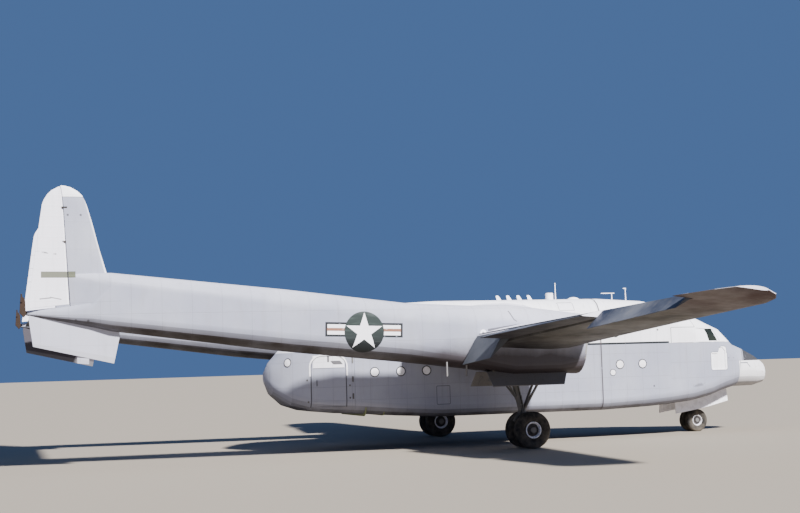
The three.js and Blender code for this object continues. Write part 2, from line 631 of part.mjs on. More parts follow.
// Rudder brackets: the lowest stands on the boom, the others on the fin
const BOOM_BRACKET_Z = 4960;
const FIN_BRACKETS_Z = [6000, 7100];
function rudderBracket(z, y) {
  const unit = at(RUDDER_HINGE.highX - RUDDER_HINGE.lowX, 0, RUDDER_HINGE.highZ - RUDDER_HINGE.lowZ).normalize();
  const foot = at(rudderHingeX(z), y, z);
  const top = foot.clone().addScaledVector(unit, BRACKET.width);
  const radius = rudderNose(z);
  const tall = radius * BRACKET.tall;
  const block = loft([foot, top].map((end) => [
    at(end.x + radius / 2, y - tall, end.z), at(end.x + rudderReach(z) + 2 * BRACKET.root, y - tall, end.z),
    at(end.x + rudderReach(z) + 2 * BRACKET.root, y + tall, end.z), at(end.x + radius / 2, y + tall, end.z),
  ]));
  const room = (radius + BRACKET.gap) / Math.cos(Math.PI / BRACKET.sides);
  const past = unit.clone().multiplyScalar(BRACKET.width);
  return block.subtract(bar(foot.clone().sub(past), top.clone().add(past), room, BRACKET.sides));
}

// Nacelles and booms, open at the engine bulkhead and at the wheel bay, with the fins' flat-sided roots
const boomShape = (y, inset = 0) => podSolid(BOOM, inset, y, BOOM_STEPS);
const rootShape = (y, inset = 0) => podSolid(FIN_ROOT, inset, y, BOOM_STEPS);
const boomGrownAt = (y) => join(boomShape(y, -SKIN_GAP), rootShape(y, -SKIN_GAP));
const HOLLOW_STATIONS = BOOM.slice(0, -1);
// The front of the nacelle stays open; the hollows end short of the boom's and the root's rear ends
const FRONT_WALL = 50;
const BOOM_REAR_WALL = 300;
const ROOT_REAR_WALL = 160;
// The lower lip of the nacelle's open front leans back
const NACELLE_LIP = { foot: 3520, low: 2200, brow: 3710, high: 3500, front: 3900 };
const WHEEL_BAY = { x0: 350, x1: 3050, half: 520, low: 1900, high: 2700 };
const ENGINE_STUBS = {
  rear: 20,
  front: 230,
  radius: 55,
  places: [{ out: -430, z: 2850 }, { out: 430, z: 2850 }, { out: -430, z: 3680 }, { out: 430, z: 3680 }],
};
const boomHollows = {};
sides.forEach(({ side, sign }) => {
  const y = sign * BOOM_Y;
  const inner = join(
    hollow(HOLLOW_STATIONS, BOOM_WALL, FRONT_WALL, BOOM_REAR_WALL, y, BOOM_STEPS),
    hollow(FIN_ROOT, BOOM_WALL, 0, ROOT_REAR_WALL, y, BOOM_STEPS),
  );
  boomHollows[side] = hollow(HOLLOW_STATIONS, BOOM_WALL + SKIN_GAP, FRONT_WALL, BOOM_REAR_WALL, y, BOOM_STEPS);
  const bay = box(WHEEL_BAY.x0, WHEEL_BAY.x1, y - WHEEL_BAY.half, y + WHEEL_BAY.half, WHEEL_BAY.low, WHEEL_BAY.high);
  const lip = NACELLE_LIP;
  const lean = loft([y - 900, y + 900].map((across) => [
    at(lip.foot, across, lip.low), at(lip.front, across, lip.low), at(lip.front, across, lip.high), at(lip.brow, across, lip.high),
  ]));
  const shell = cut(join(boomShape(y), rootShape(y).subtract(rudderSpace(y))), inner, bay, lean);
  addPart(`boom_${side}`, join(shell, rudderBracket(BOOM_BRACKET_Z, y)), finish(COLOURS.grey));

  const plate = box(FIREWALL_X, FIREWALL_X + FIREWALL_DEPTH, y - 900, y + 900, 2000, 4500);
  const stubs = ENGINE_STUBS.places.map(({ out, z }) => bar(
    at(FIREWALL_X + ENGINE_STUBS.rear, y + out, z), at(FIREWALL_X + ENGINE_STUBS.front, y + out, z), ENGINE_STUBS.radius,
  ));
  addPart(`firewall_${side}`, join(plate.intersect(boomHollows[side]), ...stubs), finish(COLOURS.firewall, 0.7));
});

// Fins, rudders and ventral fins
// Fin outline: height, leading edge x, half thickness
const FIN = [
  { z: 4500, front: -10650, half: 130 },
  { z: 5590, front: -10964, half: 120 },
  { z: 6262, front: -11160, half: 112 },
  { z: 6996, front: -11345, half: 98 },
  { z: 7500, front: -11490, half: 88 },
  { z: 7660, front: -11552, half: 80 },
  { z: 7804, front: -11625, half: 70 },
  { z: 7924, front: -11748, half: 56 },
  { z: 8032, front: -11933, half: 40 },
  { z: 8072, front: -12080, half: 26 },
  { z: 8080, front: -12150, half: 18 },
];
const FIN_BACK = -12300;
const VENTRAL_FIN = [[-10640, 4100], [-13100, 4420], [-13110, 4260], [-13000, 3510], [-10780, 2980], [-10610, 3760]];

function finRing({ z, front, half }, y) {
  const chord = FIN_BACK - front;
  const outline = [[0, 0], [0.03, 0.28], [0.12, 0.6], [0.35, 0.95], [0.65, 1], [1, 0.86]];
  const near = outline.map(([s, t]) => at(front + chord * s, y - half * t, z));
  const far = outline.slice(1).toReversed().map(([s, t]) => at(front + chord * s, y + half * t, z));
  return [...near, ...far];
}

sides.forEach(({ side, sign }) => {
  const y = sign * BOOM_Y;
  const boomGrown = boomGrownAt(y);
  addPart(`fin_${side}`, join(
    cut(loft(FIN.map((row) => finRing(row, y))), boomGrown, rudderSpace(y)),
    ...FIN_BRACKETS_Z.map((z) => rudderBracket(z, y)),
  ), finish(COLOURS.white));
  const axis = at(RUDDER_HINGE.highX - RUDDER_HINGE.lowX, 0, RUDDER_HINGE.highZ - RUDDER_HINGE.lowZ);
  const foot = at(RUDDER_HINGE.lowX, y, RUDDER_HINGE.lowZ);
  addHinged(`rudder_${side}`, loft(RUDDER.map((row) => rudderRing(row, y))), finish(COLOURS.white), foot, axis, RUDDER_TURN);
  addPart(`ventral_fin_${side}`, sideways(VENTRAL_FIN, y - 45, y + 45).subtract(boomGrown), finish(COLOURS.grey));
});

// Stabiliser and elevator between the booms
const TAIL = { front: -10950, hinge: -12250, back: -13050, z: 4450, nose: 100, wall: 22, elevatorSpan: 3700 };
const tailOutline = [
  [TAIL.front, 0], [TAIL.front - 60, 55], [TAIL.front - 250, 100], [TAIL.front - 650, 125],
  [TAIL.hinge + TAIL.nose + MOVING_GAP, 110],
];
const tailRing = (y, wall = 0) => {
  const keep = tailOutline.map(([x, t], index) => [
    x + (index === tailOutline.length - 1 ? wall : 0) - (index === 0 ? wall * 3 : 0), Math.max(t - wall, 0),
  ]);
  return [
    ...keep.map(([x, t]) => at(x, y, TAIL.z + t)),
    ...keep.slice(1).toReversed().map(([x, t]) => at(x, y, TAIL.z - t)),
  ];
};
const bothBooms = join(boomGrownAt(-BOOM_Y), boomGrownAt(BOOM_Y));
const tailShell = loft([tailRing(-BOOM_Y), tailRing(BOOM_Y)]);
const tailHollow = loft([tailRing(-BOOM_Y, TAIL.wall), tailRing(BOOM_Y, TAIL.wall)]);
const ELEVATOR_BRACKETS = [-3300, -1100, 1100, 3300];
const elevatorBrackets = ELEVATOR_BRACKETS.map((y) => bracketBetween(
  at(TAIL.hinge, y, TAIL.z), at(0, 1, 0), TAIL.nose, TAIL.nose + MOVING_GAP + 4,
));
addPart('stabiliser', join(cut(tailShell, tailHollow, bothBooms), ...elevatorBrackets), finish(COLOURS.white));
const elevatorHinge = (y) => ({ point: at(TAIL.hinge, y, TAIL.z), back: at(TAIL.back, y, TAIL.z) });
addHinged(
  'elevator',
  loft([-TAIL.elevatorSpan, TAIL.elevatorSpan].map((y) => surfaceRing(elevatorHinge(y), at(0, 1, 0), TAIL.nose))),
  finish(COLOURS.slate), at(TAIL.hinge, 0, TAIL.z), at(0, 1, 0), -ELEVATOR_DROOP,
);

// Wheels: tyres, and the rims of a pair with their live axle
const WHEEL_SIDES = 28;

function tyreSolid({ x, radius, width, rim }, y) {
  const half = width / 2;
  const depth = radius - rim;
  const profile = [
    [rim, -half * 0.72], [rim + depth * 0.3, -half], [radius - depth * 0.3, -half * 0.96], [radius, -half * 0.5],
    [radius, half * 0.5], [radius - depth * 0.3, half * 0.96], [rim + depth * 0.3, half], [rim, half * 0.72],
    [rim, -half * 0.72],
  ];
  const geometry = new THREE.LatheGeometry(profile.map(([r, t]) => new THREE.Vector2(r, t)), WHEEL_SIDES);
  geometry.translate(x, y, radius);
  const solid = solidOf(geometry);
  return solid.volume() > 0 ? solid : solidOf(turnedOut(geometry));
}

function turnedOut(geometry) {
  const copy = geometry.clone();
  const order = Array.from(copy.index.array);
  for (let i = 0; i < order.length; i += 3) {
    [order[i], order[i + 1]] = [order[i + 1], order[i]];
  }
  copy.setIndex(order);
  return copy;
}

function hubSolid({ x, radius, width, rim, spread, axle }, y) {
  const half = width / 2;
  const inner = spread - half * 0.86;
  const outer = spread + half * 0.8;
  const seat = rim - SKIN_GAP;
  const right = [
    [axle, inner], [seat, inner], [seat, outer], [seat * 0.86, outer],
    [seat * 0.78, outer - half * 0.5], [seat * 0.42, outer - half * 0.5], [seat * 0.36, outer], [0, outer],
  ];
  const left = right.map(([r, t]) => [r, -t]).reverse();
  const geometry = new THREE.LatheGeometry([...left, ...right].map(([r, t]) => new THREE.Vector2(r, t)), WHEEL_SIDES);
  geometry.translate(x, y, radius);
  const solid = solidOf(geometry);
  return solid.volume() > 0 ? solid : solidOf(turnedOut(geometry));
}

// Main gear: leg with its axle housing, braces and cross tubes seated in the nacelle
const MAIN_LEG = {
  knee: { x: 1700, z: 1100 },
  crown: { x: 1330, z: 2760, tube: 85 },
  front: { x: 2480, z: 2560, tube: 50, brace: 42 },
  rear: { x: 800, z: 2640, tube: 50, brace: 32, footX: 1560, footZ: 1500 },
  spread: 330,
  upper: 105,
  lower: 80,
  housing: { radius: 100, half: 150 },
};
sides.forEach(({ side, sign }) => {
  const y = sign * BOOM_Y;
  const wheel = MAIN_WHEEL;
  const axle = at(wheel.x, y, wheel.radius);
  const { knee, crown, front, rear, spread, upper, lower, housing } = MAIN_LEG;
  const kneeAt = at(knee.x, y, knee.z);
  const crossTube = ({ x, z, tube }) => bar(at(x, y - 790, z), at(x, y + 790, z), tube).intersect(boomHollows[side]);
  const braces = [-1, 1].flatMap((way) => [
    bar(kneeAt, at(front.x, y + way * spread, front.z), front.brace, 8),
    bar(at(rear.footX, y, rear.footZ), at(rear.x, y + way * spread, rear.z), rear.brace, 8),
  ]);
  const leg = join(
    bar(at(crown.x, y, crown.z), kneeAt, upper, 14),
    bar(kneeAt, axle, lower, 14),
    bar(
      at(wheel.x, y - housing.half, wheel.radius), at(wheel.x, y + housing.half, wheel.radius),
      housing.radius, 16,
    ),
    crossTube(crown),
    crossTube(front),
    crossTube(rear),
    ...braces,
  );
  const bore = bar(at(wheel.x, y - 300, wheel.radius), at(wheel.x, y + 300, wheel.radius), wheel.bore, WHEEL_SIDES);
  addPart(`main_leg_${side}`, leg.subtract(bore), finish(COLOURS.steel, 0.45, 0.6));
  addPart(`main_wheel_hub_${side}`, hubSolid(wheel, y), finish(COLOURS.wheel, 0.5, 0.4));
  [{ place: 'outer', way: sign }, { place: 'inner', way: -sign }].forEach(({ place, way }) => {
    addPart(`main_tyre_${side}_${place}`, tyreSolid(wheel, y + way * wheel.spread), finish(COLOURS.rubber, 0.9, 0));
  });
});

// Open doors of the main wheel bays, hung from the nacelle's lower skin
const GEAR_DOOR = { hinge: 545, low: 2310, root: 130, reach: 560, splay: 50, thick: 28 };
// Ends of a door: x at the hinge line, how far the lower corner lies aft of it
const GEAR_DOOR_ENDS = [{ x: 380, rake: 0 }, { x: 3020, rake: 280 }];
sides.forEach(({ side, sign }) => {
  const boomGrown = podSolid(BOOM, -SKIN_GAP, sign * BOOM_Y, BOOM_STEPS);
  [{ place: 'outer', way: sign }, { place: 'inner', way: -sign }].forEach(({ place, way }) => {
    const splay = THREE.MathUtils.degToRad(GEAR_DOOR.splay);
    const edgeY = sign * BOOM_Y + way * GEAR_DOOR.hinge;
    const outY = way * Math.sin(splay);
    const downZ = -Math.cos(splay);
    const { root, reach: far } = GEAR_DOOR;
    const corners = [[-root, 0], [far, 0], [far, 1], [-root, 1]];
    const ring = ({ x, rake }) => corners.map(([reach, face]) => at(
      x - rake * reach / far,
      edgeY + outY * reach - way * downZ * face * GEAR_DOOR.thick,
      GEAR_DOOR.low + downZ * reach + Math.abs(outY) * face * GEAR_DOOR.thick,
    ));
    addPart(
      `gear_door_${side}_${place}`,
      loft(GEAR_DOOR_ENDS.map(ring)).subtract(boomGrown),
      finish(COLOURS.white),
    );
  });
});

// Nose gear: fixed leg between the keels, steering fork, twin wheels, open doors
const NOSE_LEG = { crownZ: 1760, collarZ: 900 };
const wheelAt = at(NOSE_WHEEL.x, 0, NOSE_WHEEL.radius);
const keelSpan = KEEL.inner - SKIN_GAP;
addPart('nose_leg', join(
  bar(at(NOSE_WHEEL.x, 0, NOSE_LEG.crownZ), at(NOSE_WHEEL.x, 0, NOSE_LEG.collarZ), 85, 14),
  bar(at(NOSE_WHEEL.x, -keelSpan, NOSE_LEG.crownZ), at(NOSE_WHEEL.x, keelSpan, NOSE_LEG.crownZ), 60),
  bar(at(NOSE_WHEEL.x, 0, 1150), at(9520, 0, 1780), 40, 8),
  bar(at(9520, -keelSpan, 1780), at(9520, keelSpan, 1780), 40, 8),
), finish(COLOURS.steel, 0.45, 0.6));
const forkBody = join(
  bar(at(NOSE_WHEEL.x, 0, NOSE_LEG.collarZ - 0.6), at(NOSE_WHEEL.x, 0, 820), 105, 14),
  bar(at(NOSE_WHEEL.x, 0, 821), wheelAt, 62, 14),
  bar(at(NOSE_WHEEL.x, -90, NOSE_WHEEL.radius), at(NOSE_WHEEL.x, 90, NOSE_WHEEL.radius), 76, 16),
);
addPart('nose_steering_fork', forkBody.subtract(
  bar(at(NOSE_WHEEL.x, -200, NOSE_WHEEL.radius), at(NOSE_WHEEL.x, 200, NOSE_WHEEL.radius), NOSE_WHEEL.bore, WHEEL_SIDES),
), finish(COLOURS.steel, 0.45, 0.6));
addPart('nose_wheel_hub', hubSolid(NOSE_WHEEL, 0), finish(COLOURS.wheel, 0.5, 0.4));
sides.forEach(({ side, sign }) => {
  addPart(`nose_tyre_${side}`, tyreSolid(NOSE_WHEEL, sign * NOSE_WHEEL.spread), finish(COLOURS.rubber, 0.9, 0));
});

// Nose door outline: x, upper height, lower height
const NOSE_DOOR = [
  { x: 9170, high: 1500, low: 680 },
  { x: 10300, high: 1700, low: 850 },
  { x: 11290, high: 1900, low: 1075 },
];
sides.forEach(({ side, sign }) => {
  const hingeY = 490;
  const lowY = 600;
  const thick = 26;
  const rings = NOSE_DOOR.map(({ x, high, low }) => {
    const edge = (z) => sign * (lowY + (hingeY - lowY) * (z - low) / (high - low));
    return [
      at(x, edge(high), high), at(x, edge(low), low),
      at(x, edge(low) + sign * thick, low), at(x, edge(high) + sign * thick, high),
    ];
  });
  addPart(`nose_gear_door_${side}`, loft(rings).subtract(wholePodGrown), finish(COLOURS.white));
});

export default group;
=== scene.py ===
import json
import math

import bmesh
import bpy
from mathutils import Matrix, Vector
from mathutils.bvhtree import BVHTree

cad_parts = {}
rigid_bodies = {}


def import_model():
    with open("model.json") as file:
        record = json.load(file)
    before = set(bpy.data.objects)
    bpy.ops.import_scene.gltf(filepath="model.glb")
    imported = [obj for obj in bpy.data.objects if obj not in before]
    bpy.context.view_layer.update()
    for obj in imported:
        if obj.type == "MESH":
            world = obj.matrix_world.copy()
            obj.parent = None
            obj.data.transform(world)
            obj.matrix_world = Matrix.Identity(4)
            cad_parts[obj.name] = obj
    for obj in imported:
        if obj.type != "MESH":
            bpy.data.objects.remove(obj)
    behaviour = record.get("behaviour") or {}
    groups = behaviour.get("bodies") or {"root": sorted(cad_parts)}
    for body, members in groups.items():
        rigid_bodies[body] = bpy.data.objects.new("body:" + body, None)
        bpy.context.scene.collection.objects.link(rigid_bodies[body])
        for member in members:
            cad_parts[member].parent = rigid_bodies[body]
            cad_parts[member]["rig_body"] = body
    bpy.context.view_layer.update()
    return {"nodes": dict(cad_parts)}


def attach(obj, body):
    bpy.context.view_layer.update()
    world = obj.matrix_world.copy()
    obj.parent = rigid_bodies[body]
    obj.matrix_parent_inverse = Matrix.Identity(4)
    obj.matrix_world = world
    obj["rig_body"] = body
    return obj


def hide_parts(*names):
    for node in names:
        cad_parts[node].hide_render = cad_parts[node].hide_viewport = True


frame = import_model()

bl_info = {
    "name": "Twin-boom transport plane",
    "version": (1, 0, 0),
    "blender": (4, 5, 0),
    "location": "View3D > Sidebar > Plane",
    "description": "Dresses the packed frame of a stored transport plane",
    "category": "Object",
}

NODES = frame["nodes"]
SIDES = {"right": -1, "left": 1}
WELD = 2e-5
BOOM_Y = 4.38
X_AXIS = Vector((1, 0, 0))
Y_AXIS = Vector((0, 1, 0))
Z_AXIS = Vector((0, 0, 1))

# A wheel: its axle along the plane, tyre radius and width, rim radius, and a tyre's distance from the middle
MAIN_WHEEL = {"x": 1.86, "radius": 0.57, "width": 0.39, "rim": 0.262, "spread": 0.345}
NOSE_WHEEL = {"x": 10.2, "radius": 0.4, "width": 0.23, "rim": 0.196, "spread": 0.215}
HUB_BOLTS = 10

# Markings: heights of the roof's paint line and of the green band, with half its width
SPECULAR = 0.3
ROOF_LINE = 3.2
GREEN_BAND = (5.525, 0.09)
INSIGNIA = {"x": -3.53, "z": 3.71, "slope": 0.035, "disc": 0.615, "star": 0.58}

# The nacelle's open front, with its lower lip leaning back, and the firewall's face behind it
NACELLE_FRONT = {"half": 0.79, "low": 2.27, "high": 4.165, "top": 0.7, "bottom": 0.62}
NACELLE_X = 3.69
FIREWALL_BAND = {"half": 0.792, "low": 2.275, "high": 4.197, "top": 0.7, "bottom": 0.55}
NACELLE_LIP = {"foot": 3.52, "low": 2.2, "lean": 0.146}
FIREWALL_X = 3.4
GEAR_DOOR_ANGLE = math.radians(50)


def tint(red, green, blue):
    """A linear colour from 0 to 255 screen values."""
    shares = [value / 255 for value in (red, green, blue)]
    return tuple(((share + 0.055) / 1.055) ** 2.4 if share > 0.04 else share / 12.92 for share in shares)


def colour_setting(name, description, value):
    return bpy.props.FloatVectorProperty(
        name=name, description=description, subtype="COLOR", size=3, default=value,
    )


def length_setting(name, description, value):
    return bpy.props.FloatProperty(name=name, description=description, unit="LENGTH", default=value)


class PlaneColours(bpy.types.PropertyGroup):
    pale: colour_setting("Pale paint", "Light grey paint of the pod, booms and fins", tint(152, 154, 170))
    white: colour_setting("White paint", "White paint of the upper pod and the rudders", tint(240, 236, 246))
    coat: colour_setting("Storage coat", "Chalky coat sprayed over glass and hatches", tint(252, 249, 254))
    # Painted shade: the control surfaces' grey is darkened to slate to stand in for their shade
    shaded_slate: colour_setting("Slate", "Grey of the flaps, ailerons and elevator", tint(46, 52, 68))
    # Painted shade and painted ground reflection: the dark olive brown of the wings' undersides
    under: colour_setting("Underside", "Grimy olive brown of the wings' underside", tint(30, 25, 19))
    # Painted shade: this colour darkens the faces that look down on the pod, nose, radome, booms, fins and
    # control surfaces
    grime_and_shade: colour_setting("Grime", "Oil and dust on the undersides", tint(40, 32, 30))
    stripe: colour_setting("Dark stripe", "Cheat line and marking paint", tint(28, 31, 34))
    band: colour_setting("Green band", "Drab green band across each fin", tint(84, 86, 62))
    deck: colour_setting("Deck", "Worn cargo deck", tint(112, 106, 94))
    primer: colour_setting("Primer", "Inside of the shell", tint(128, 134, 96))
    steel: colour_setting("Gear enamel", "Enamel of the landing gear", tint(104, 102, 100))
    rubber: colour_setting("Rubber", "Sun-bleached tyre", tint(40, 38, 37))
    rust: colour_setting("Rust", "Rusty steel", tint(58, 43, 34))
    floor: colour_setting("Floor", "Plain floor", tint(150, 140, 126))
    sky: colour_setting("Backdrop", "Plain backdrop", tint(92, 126, 184))


class PlaneSizes(bpy.types.PropertyGroup):
    edge: length_setting("Edge round", "Rounding of the sheet edges", 0.004)
    frame_pitch: length_setting("Frame pitch", "Distance between the skin's riveted frames", 0.61)
    seam: length_setting("Seam width", "Width of a skin seam", 0.012)
    rivet_pitch: length_setting("Rivet pitch", "Distance between rivets", 0.06)
    porthole: length_setting("Porthole radius", "Radius of a round window", 0.152)


def colours():
    return bpy.context.scene.plane_colours


def sizes():
    return bpy.context.scene.plane_sizes


class Wire:
    """A node socket that Python arithmetic can be written on."""

    def __init__(self, paint, socket):
        self.paint = paint
        self.socket = socket

    def __add__(self, other):
        return self.paint.math("ADD", self, other)

    __radd__ = __add__

    def __sub__(self, other):
        return self.paint.math("SUBTRACT", self, other)

    def __rsub__(self, other):
        return self.paint.math("SUBTRACT", other, self)

    def __mul__(self, other):
        return self.paint.math("MULTIPLY", self, other)

    __rmul__ = __mul__

    def __truediv__(self, other):
        return self.paint.math("DIVIDE", self, other)

    def __rtruediv__(self, other):
        return self.paint.math("DIVIDE", other, self)

    def __gt__(self, other):
        return self.paint.math("GREATER_THAN", self, other)

    def __lt__(self, other):
        return self.paint.math("LESS_THAN", self, other)

    def __abs__(self):
        return self.paint.math("ABSOLUTE", self)


class Paint:
    """A procedural material, built from Python expressions on Object coordinates."""

    def __init__(self, name):
        self.material = bpy.data.materials.new(name)
        self.material.use_nodes = True
        self.tree = self.material.node_tree
        self.shader = self.tree.nodes["Principled BSDF"]
        coordinates = self.node("ShaderNodeTexCoord")
        self.point = Wire(self, coordinates.outputs["Object"])
        split = self.node("ShaderNodeSeparateXYZ", inputs={0: self.point})
        self.x, self.y, self.z = (Wire(self, socket) for socket in split.outputs)

    def node(self, kind, settings=None, inputs=None):
        made = self.tree.nodes.new(kind)
        for key, value in (settings or {}).items():
            if key == "stops":
                for element, (place, colour) in zip(made.color_ramp.elements, value):
                    element.position, element.color = place, (*colour, 1)
            else:
                setattr(made, key, value)
        for key, value in (inputs or {}).items():
            if isinstance(value, Wire):
                self.tree.links.new(value.socket, made.inputs[key])
            else:
                made.inputs[key].default_value = value
        return made

    def math(self, operation, a, b=0.0, clamp=False):
        made = self.node("ShaderNodeMath", {"operation": operation, "use_clamp": clamp}, {0: a, 1: b})
        return Wire(self, made.outputs[0])

    def least(self, first, *others):
        for other in others:
            first = self.math("MINIMUM", first, other)
        return first

    def most(self, first, *others):
        """The largest value, which joins masks."""
        for other in others:
            first = self.math("MAXIMUM", first, other)
        return first

    def clamped(self, value):
        return self.math("ADD", value, 0.0, clamp=True)

    def within(self, value, centre, half, soft=0.004):
        """1 where value is within half of centre, with a soft edge."""
        return self.clamped((half - abs(value - centre)) / soft + 0.5)

    def over(self, value, limit, soft=0.004):
        """1 where value is over limit, with a soft edge."""
        return self.clamped((value - limit) / soft + 0.5)

    def fold(self, value, pitch):
        """Distance to the nearest multiple of pitch."""
        share = self.math("FRACT", value / pitch + 0.5)
        return abs(share - 0.5) * pitch

    def noise(self, scale, detail=4.0, rough=0.55, stretch=(1, 1, 1)):
        mapped = self.node("ShaderNodeMapping", inputs={"Vector": self.point, "Scale": stretch})
        settings = {"noise_dimensions": "3D"}
        inputs = {
            "Vector": Wire(self, mapped.outputs[0]), "Scale": scale, "Detail": detail, "Roughness": rough,
        }
        return Wire(self, self.node("ShaderNodeTexNoise", settings, inputs).outputs[0])

    def patchy(self, scale, low, high, **more):
        """0 to 1 from noise, with the given contrast."""
        return self.clamped((self.noise(scale, **more) - low) / (high - low))

    def mix(self, factor, a, b):
        ready = [value if isinstance(value, Wire) else (*value, 1) for value in (a, b)]
        made = self.node("ShaderNodeMix", {"data_type": "RGBA"}, {0: factor, 6: ready[0], 7: ready[1]})
        return Wire(self, made.outputs[2])

    def root(self, a, b):
        """The length of a and b at right angles."""
        return self.math("SQRT", a * a + b * b)

    def patch(self, along, up):
        """A rectangle on the side, from the middle and half of its length and its height."""
        return self.within(self.x, *along) * self.within(self.z, *up)

    def plate(self, low, high, radius, u=None):
        """Distance outside a rounded rectangle on the side, below 0 within it; u leans it."""
        half = [(b - a) / 2 - radius for a, b in zip(low, high)]
        middle = [(a + b) / 2 for a, b in zip(low, high)]
        place = (self.x if u is None else u, self.z)
        out = [self.most(abs(w - m) - h, 0.0) for w, m, h in zip(place, middle, half)]
        return self.root(*out) - radius

    def outlined(self, distance, half=0.009):
        """A thin line along the edge of a shape."""
        return self.within(distance, 0.0, half, 0.008)

    def spots(self, *rows):
        """Small round marks on the side, each from its x, z and radius."""
        reach = [radius - self.root(self.x - x, self.z - z) for x, z, radius in rows]
        return self.most(*(self.clamped(inside / 0.01 + 0.5) for inside in reach))

    def beneath(self, start=0.1, soft=0.7):
        """1 on faces that look down, fading out on the sides."""
        return self.over(self.facing(2) * -1, start + soft / 2, soft)

    def facing(self, axis):
        """The normal's part along one axis, the same from every view."""
        geometry = self.node("ShaderNodeNewGeometry")
        split = self.node("ShaderNodeSeparateXYZ", inputs={0: Wire(self, geometry.outputs["True Normal"])})
        return Wire(self, split.outputs[axis])

    def finish(self, base, rough, height=None, depth=0.004, metallic=0.0, strength=0.6):
        self.shader.inputs["Specular IOR Level"].default_value = SPECULAR
        for name, value in (("Base Color", base), ("Roughness", rough), ("Metallic", metallic)):
            socket = self.shader.inputs[name]
            if isinstance(value, Wire):
                self.tree.links.new(value.socket, socket)
            else:
                socket.default_value = (*value, 1) if name == "Base Color" else value
        if height is not None:
            settings = {"Strength": strength, "Distance": depth, "Height": height}
            bump = self.node("ShaderNodeBump", inputs=settings)
            self.tree.links.new(bump.outputs[0], self.shader.inputs["Normal"])
        return self.material


def skin_detail(paint, along, across, pitch=None, rows=()):
    """Seams and rivets of a sheet skin: returns their dark mask and their height."""
    size = sizes()
    pitch = pitch or size.frame_pitch
    half = size.seam / 2
    gap = paint.fold(along, pitch)
    seam = paint.clamped((half - gap) / 0.006 + 0.5)
    for row in rows:
        seam = paint.most(seam, paint.within(across, row, half, 0.006))
    rows_of_rivets = [(abs(gap - 0.03), paint.fold(across, size.rivet_pitch))]
    for row in rows:
        rows_of_rivets.append((abs(abs(across - row) - 0.03), paint.fold(along, size.rivet_pitch)))
    heads = [paint.clamped((0.009 - paint.root(beside, step)) / 0.004) for beside, step in rows_of_rivets]
    return seam, paint.most(*heads)


def weathered(paint, base, seam, rivets, grime_and_shade=0.2, streak=(5, 5, 0.5)):
    """Ages a paint: faded patches, rain streaks and dirt in its seams."""
    faded = paint.mix(paint.patchy(0.7, 0.35, 0.7) * 0.2, base, (0.66, 0.66, 0.68))
    streaks = paint.patchy(1.6, 0.52, 0.78, stretch=streak, detail=5.0)
    # Here the amount sets the dirt streaks and specks only
    dirty = paint.mix(streaks * grime_and_shade, faded, (0.24, 0.22, 0.2))
    specks = paint.patchy(22.0, 0.64, 0.74, detail=2.0)
    dirty = paint.mix(specks * (grime_and_shade * 0.5), dirty, (0.16, 0.14, 0.12))
    lined = paint.mix(paint.clamped(seam * 0.24 + rivets * 0.1), dirty, (0.12, 0.115, 0.12))
    rough = 0.42 + paint.noise(3.0) * 0.3
    height = rivets - seam + paint.noise(1.1) * 0.5
    return lined, rough, height


def star_mask(u, v, reach):
    """A five-pointed star: inside all but one of its five lines."""
    limit = reach * math.cos(math.radians(72))
    crossed = 0.0
    for turn in range(5):
        angle = math.radians(90 + 72 * turn)
        crossed = crossed + ((u * math.cos(angle) + v * math.sin(angle)) > limit)
    return crossed < 1.5


def begin(name):
    """The colours, a new paint, and its coordinates along the plane and up."""
    paint = Paint(name)
    return colours(), paint, paint.x, paint.z


def pod_paint():
    """Light grey pod with a white roof, a cheat line, the propeller warning band and painted shade on the
    belly.
    """
    c, paint, x, z = begin("pod_paint")
    seam, rivets = skin_detail(paint, x, z, rows=(1.62, 2.06, 2.86, 3.84))
    panel = paint.patch((-3.78, 0.5), (2.88, 0.2))
    base = paint.mix(paint.most(paint.over(z, ROOF_LINE), panel * 0.8), c.pale, c.coat)
    lined, rough, height = weathered(paint, base, seam, rivets)
    # Painted shade: the faces that look down are darkened
    belly = paint.beneath(0.12, 0.8) * (0.55 + paint.patchy(1.3, 0.3, 0.7) * 0.4)
    marked = paint.mix(belly, lined, c.grime_and_shade)
    cheat = paint.patch((2.73, 5.68), (3.22, 0.036))
    marked = paint.mix(cheat * paint.patchy(9.0, 0.2, 0.3), marked, c.stripe)
    broken = paint.patchy(3.0, 0.38, 0.44, stretch=(0.2, 0.2, 1))
    thin, wide = paint.within(x, 5.73, 0.008, 0.006), paint.within(x, 5.79, 0.026, 0.006)
    marked = paint.mix(paint.most(thin * 0.4, wide * broken) * 0.9, marked, (0.06, 0.05, 0.055))
    lines = paint.most(
        paint.outlined(paint.plate((4.32, 4.39), (4.88, 4.66), 0.03)) * paint.over(z, 4.3),
        paint.outlined(paint.plate((-0.2, 1.38), (0.26, 1.98), 0.03)),
        paint.outlined(paint.plate((-4.34, 0.8), (-3.23, 3.06), 0.34), 0.014) * paint.over(z, 1.42),
    )
    marks = paint.most(
        paint.spots((7.98, 3.66, 0.035), (7.75, 1.72, 0.03)),
        1 - paint.over(paint.plate((-3.83, 2.86), (-3.77, 3.06), 0.015), 0.0),
        1 - paint.over(paint.plate((-1.42, 2.78), (-1.1, 2.9), 0.03, u=x + z * 0.8), 0.0),
    ) + paint.patch((-3.78, 0.48), (2.67, 0.008, 0.006))
    dark = paint.clamped(lines * 0.8 + marks * 0.9)
    return paint.finish(paint.mix(dark, marked, (0.04, 0.035, 0.04)), rough, height)


def slit_mask(paint):
    """The dark slit left clear in the coat over each side window."""
    lean = paint.x + (paint.z - 3.45) * 0.25
    return paint.within(lean, 10.22, 0.19, 0.012) * paint.within(paint.z, 3.45, 0.22, 0.012)


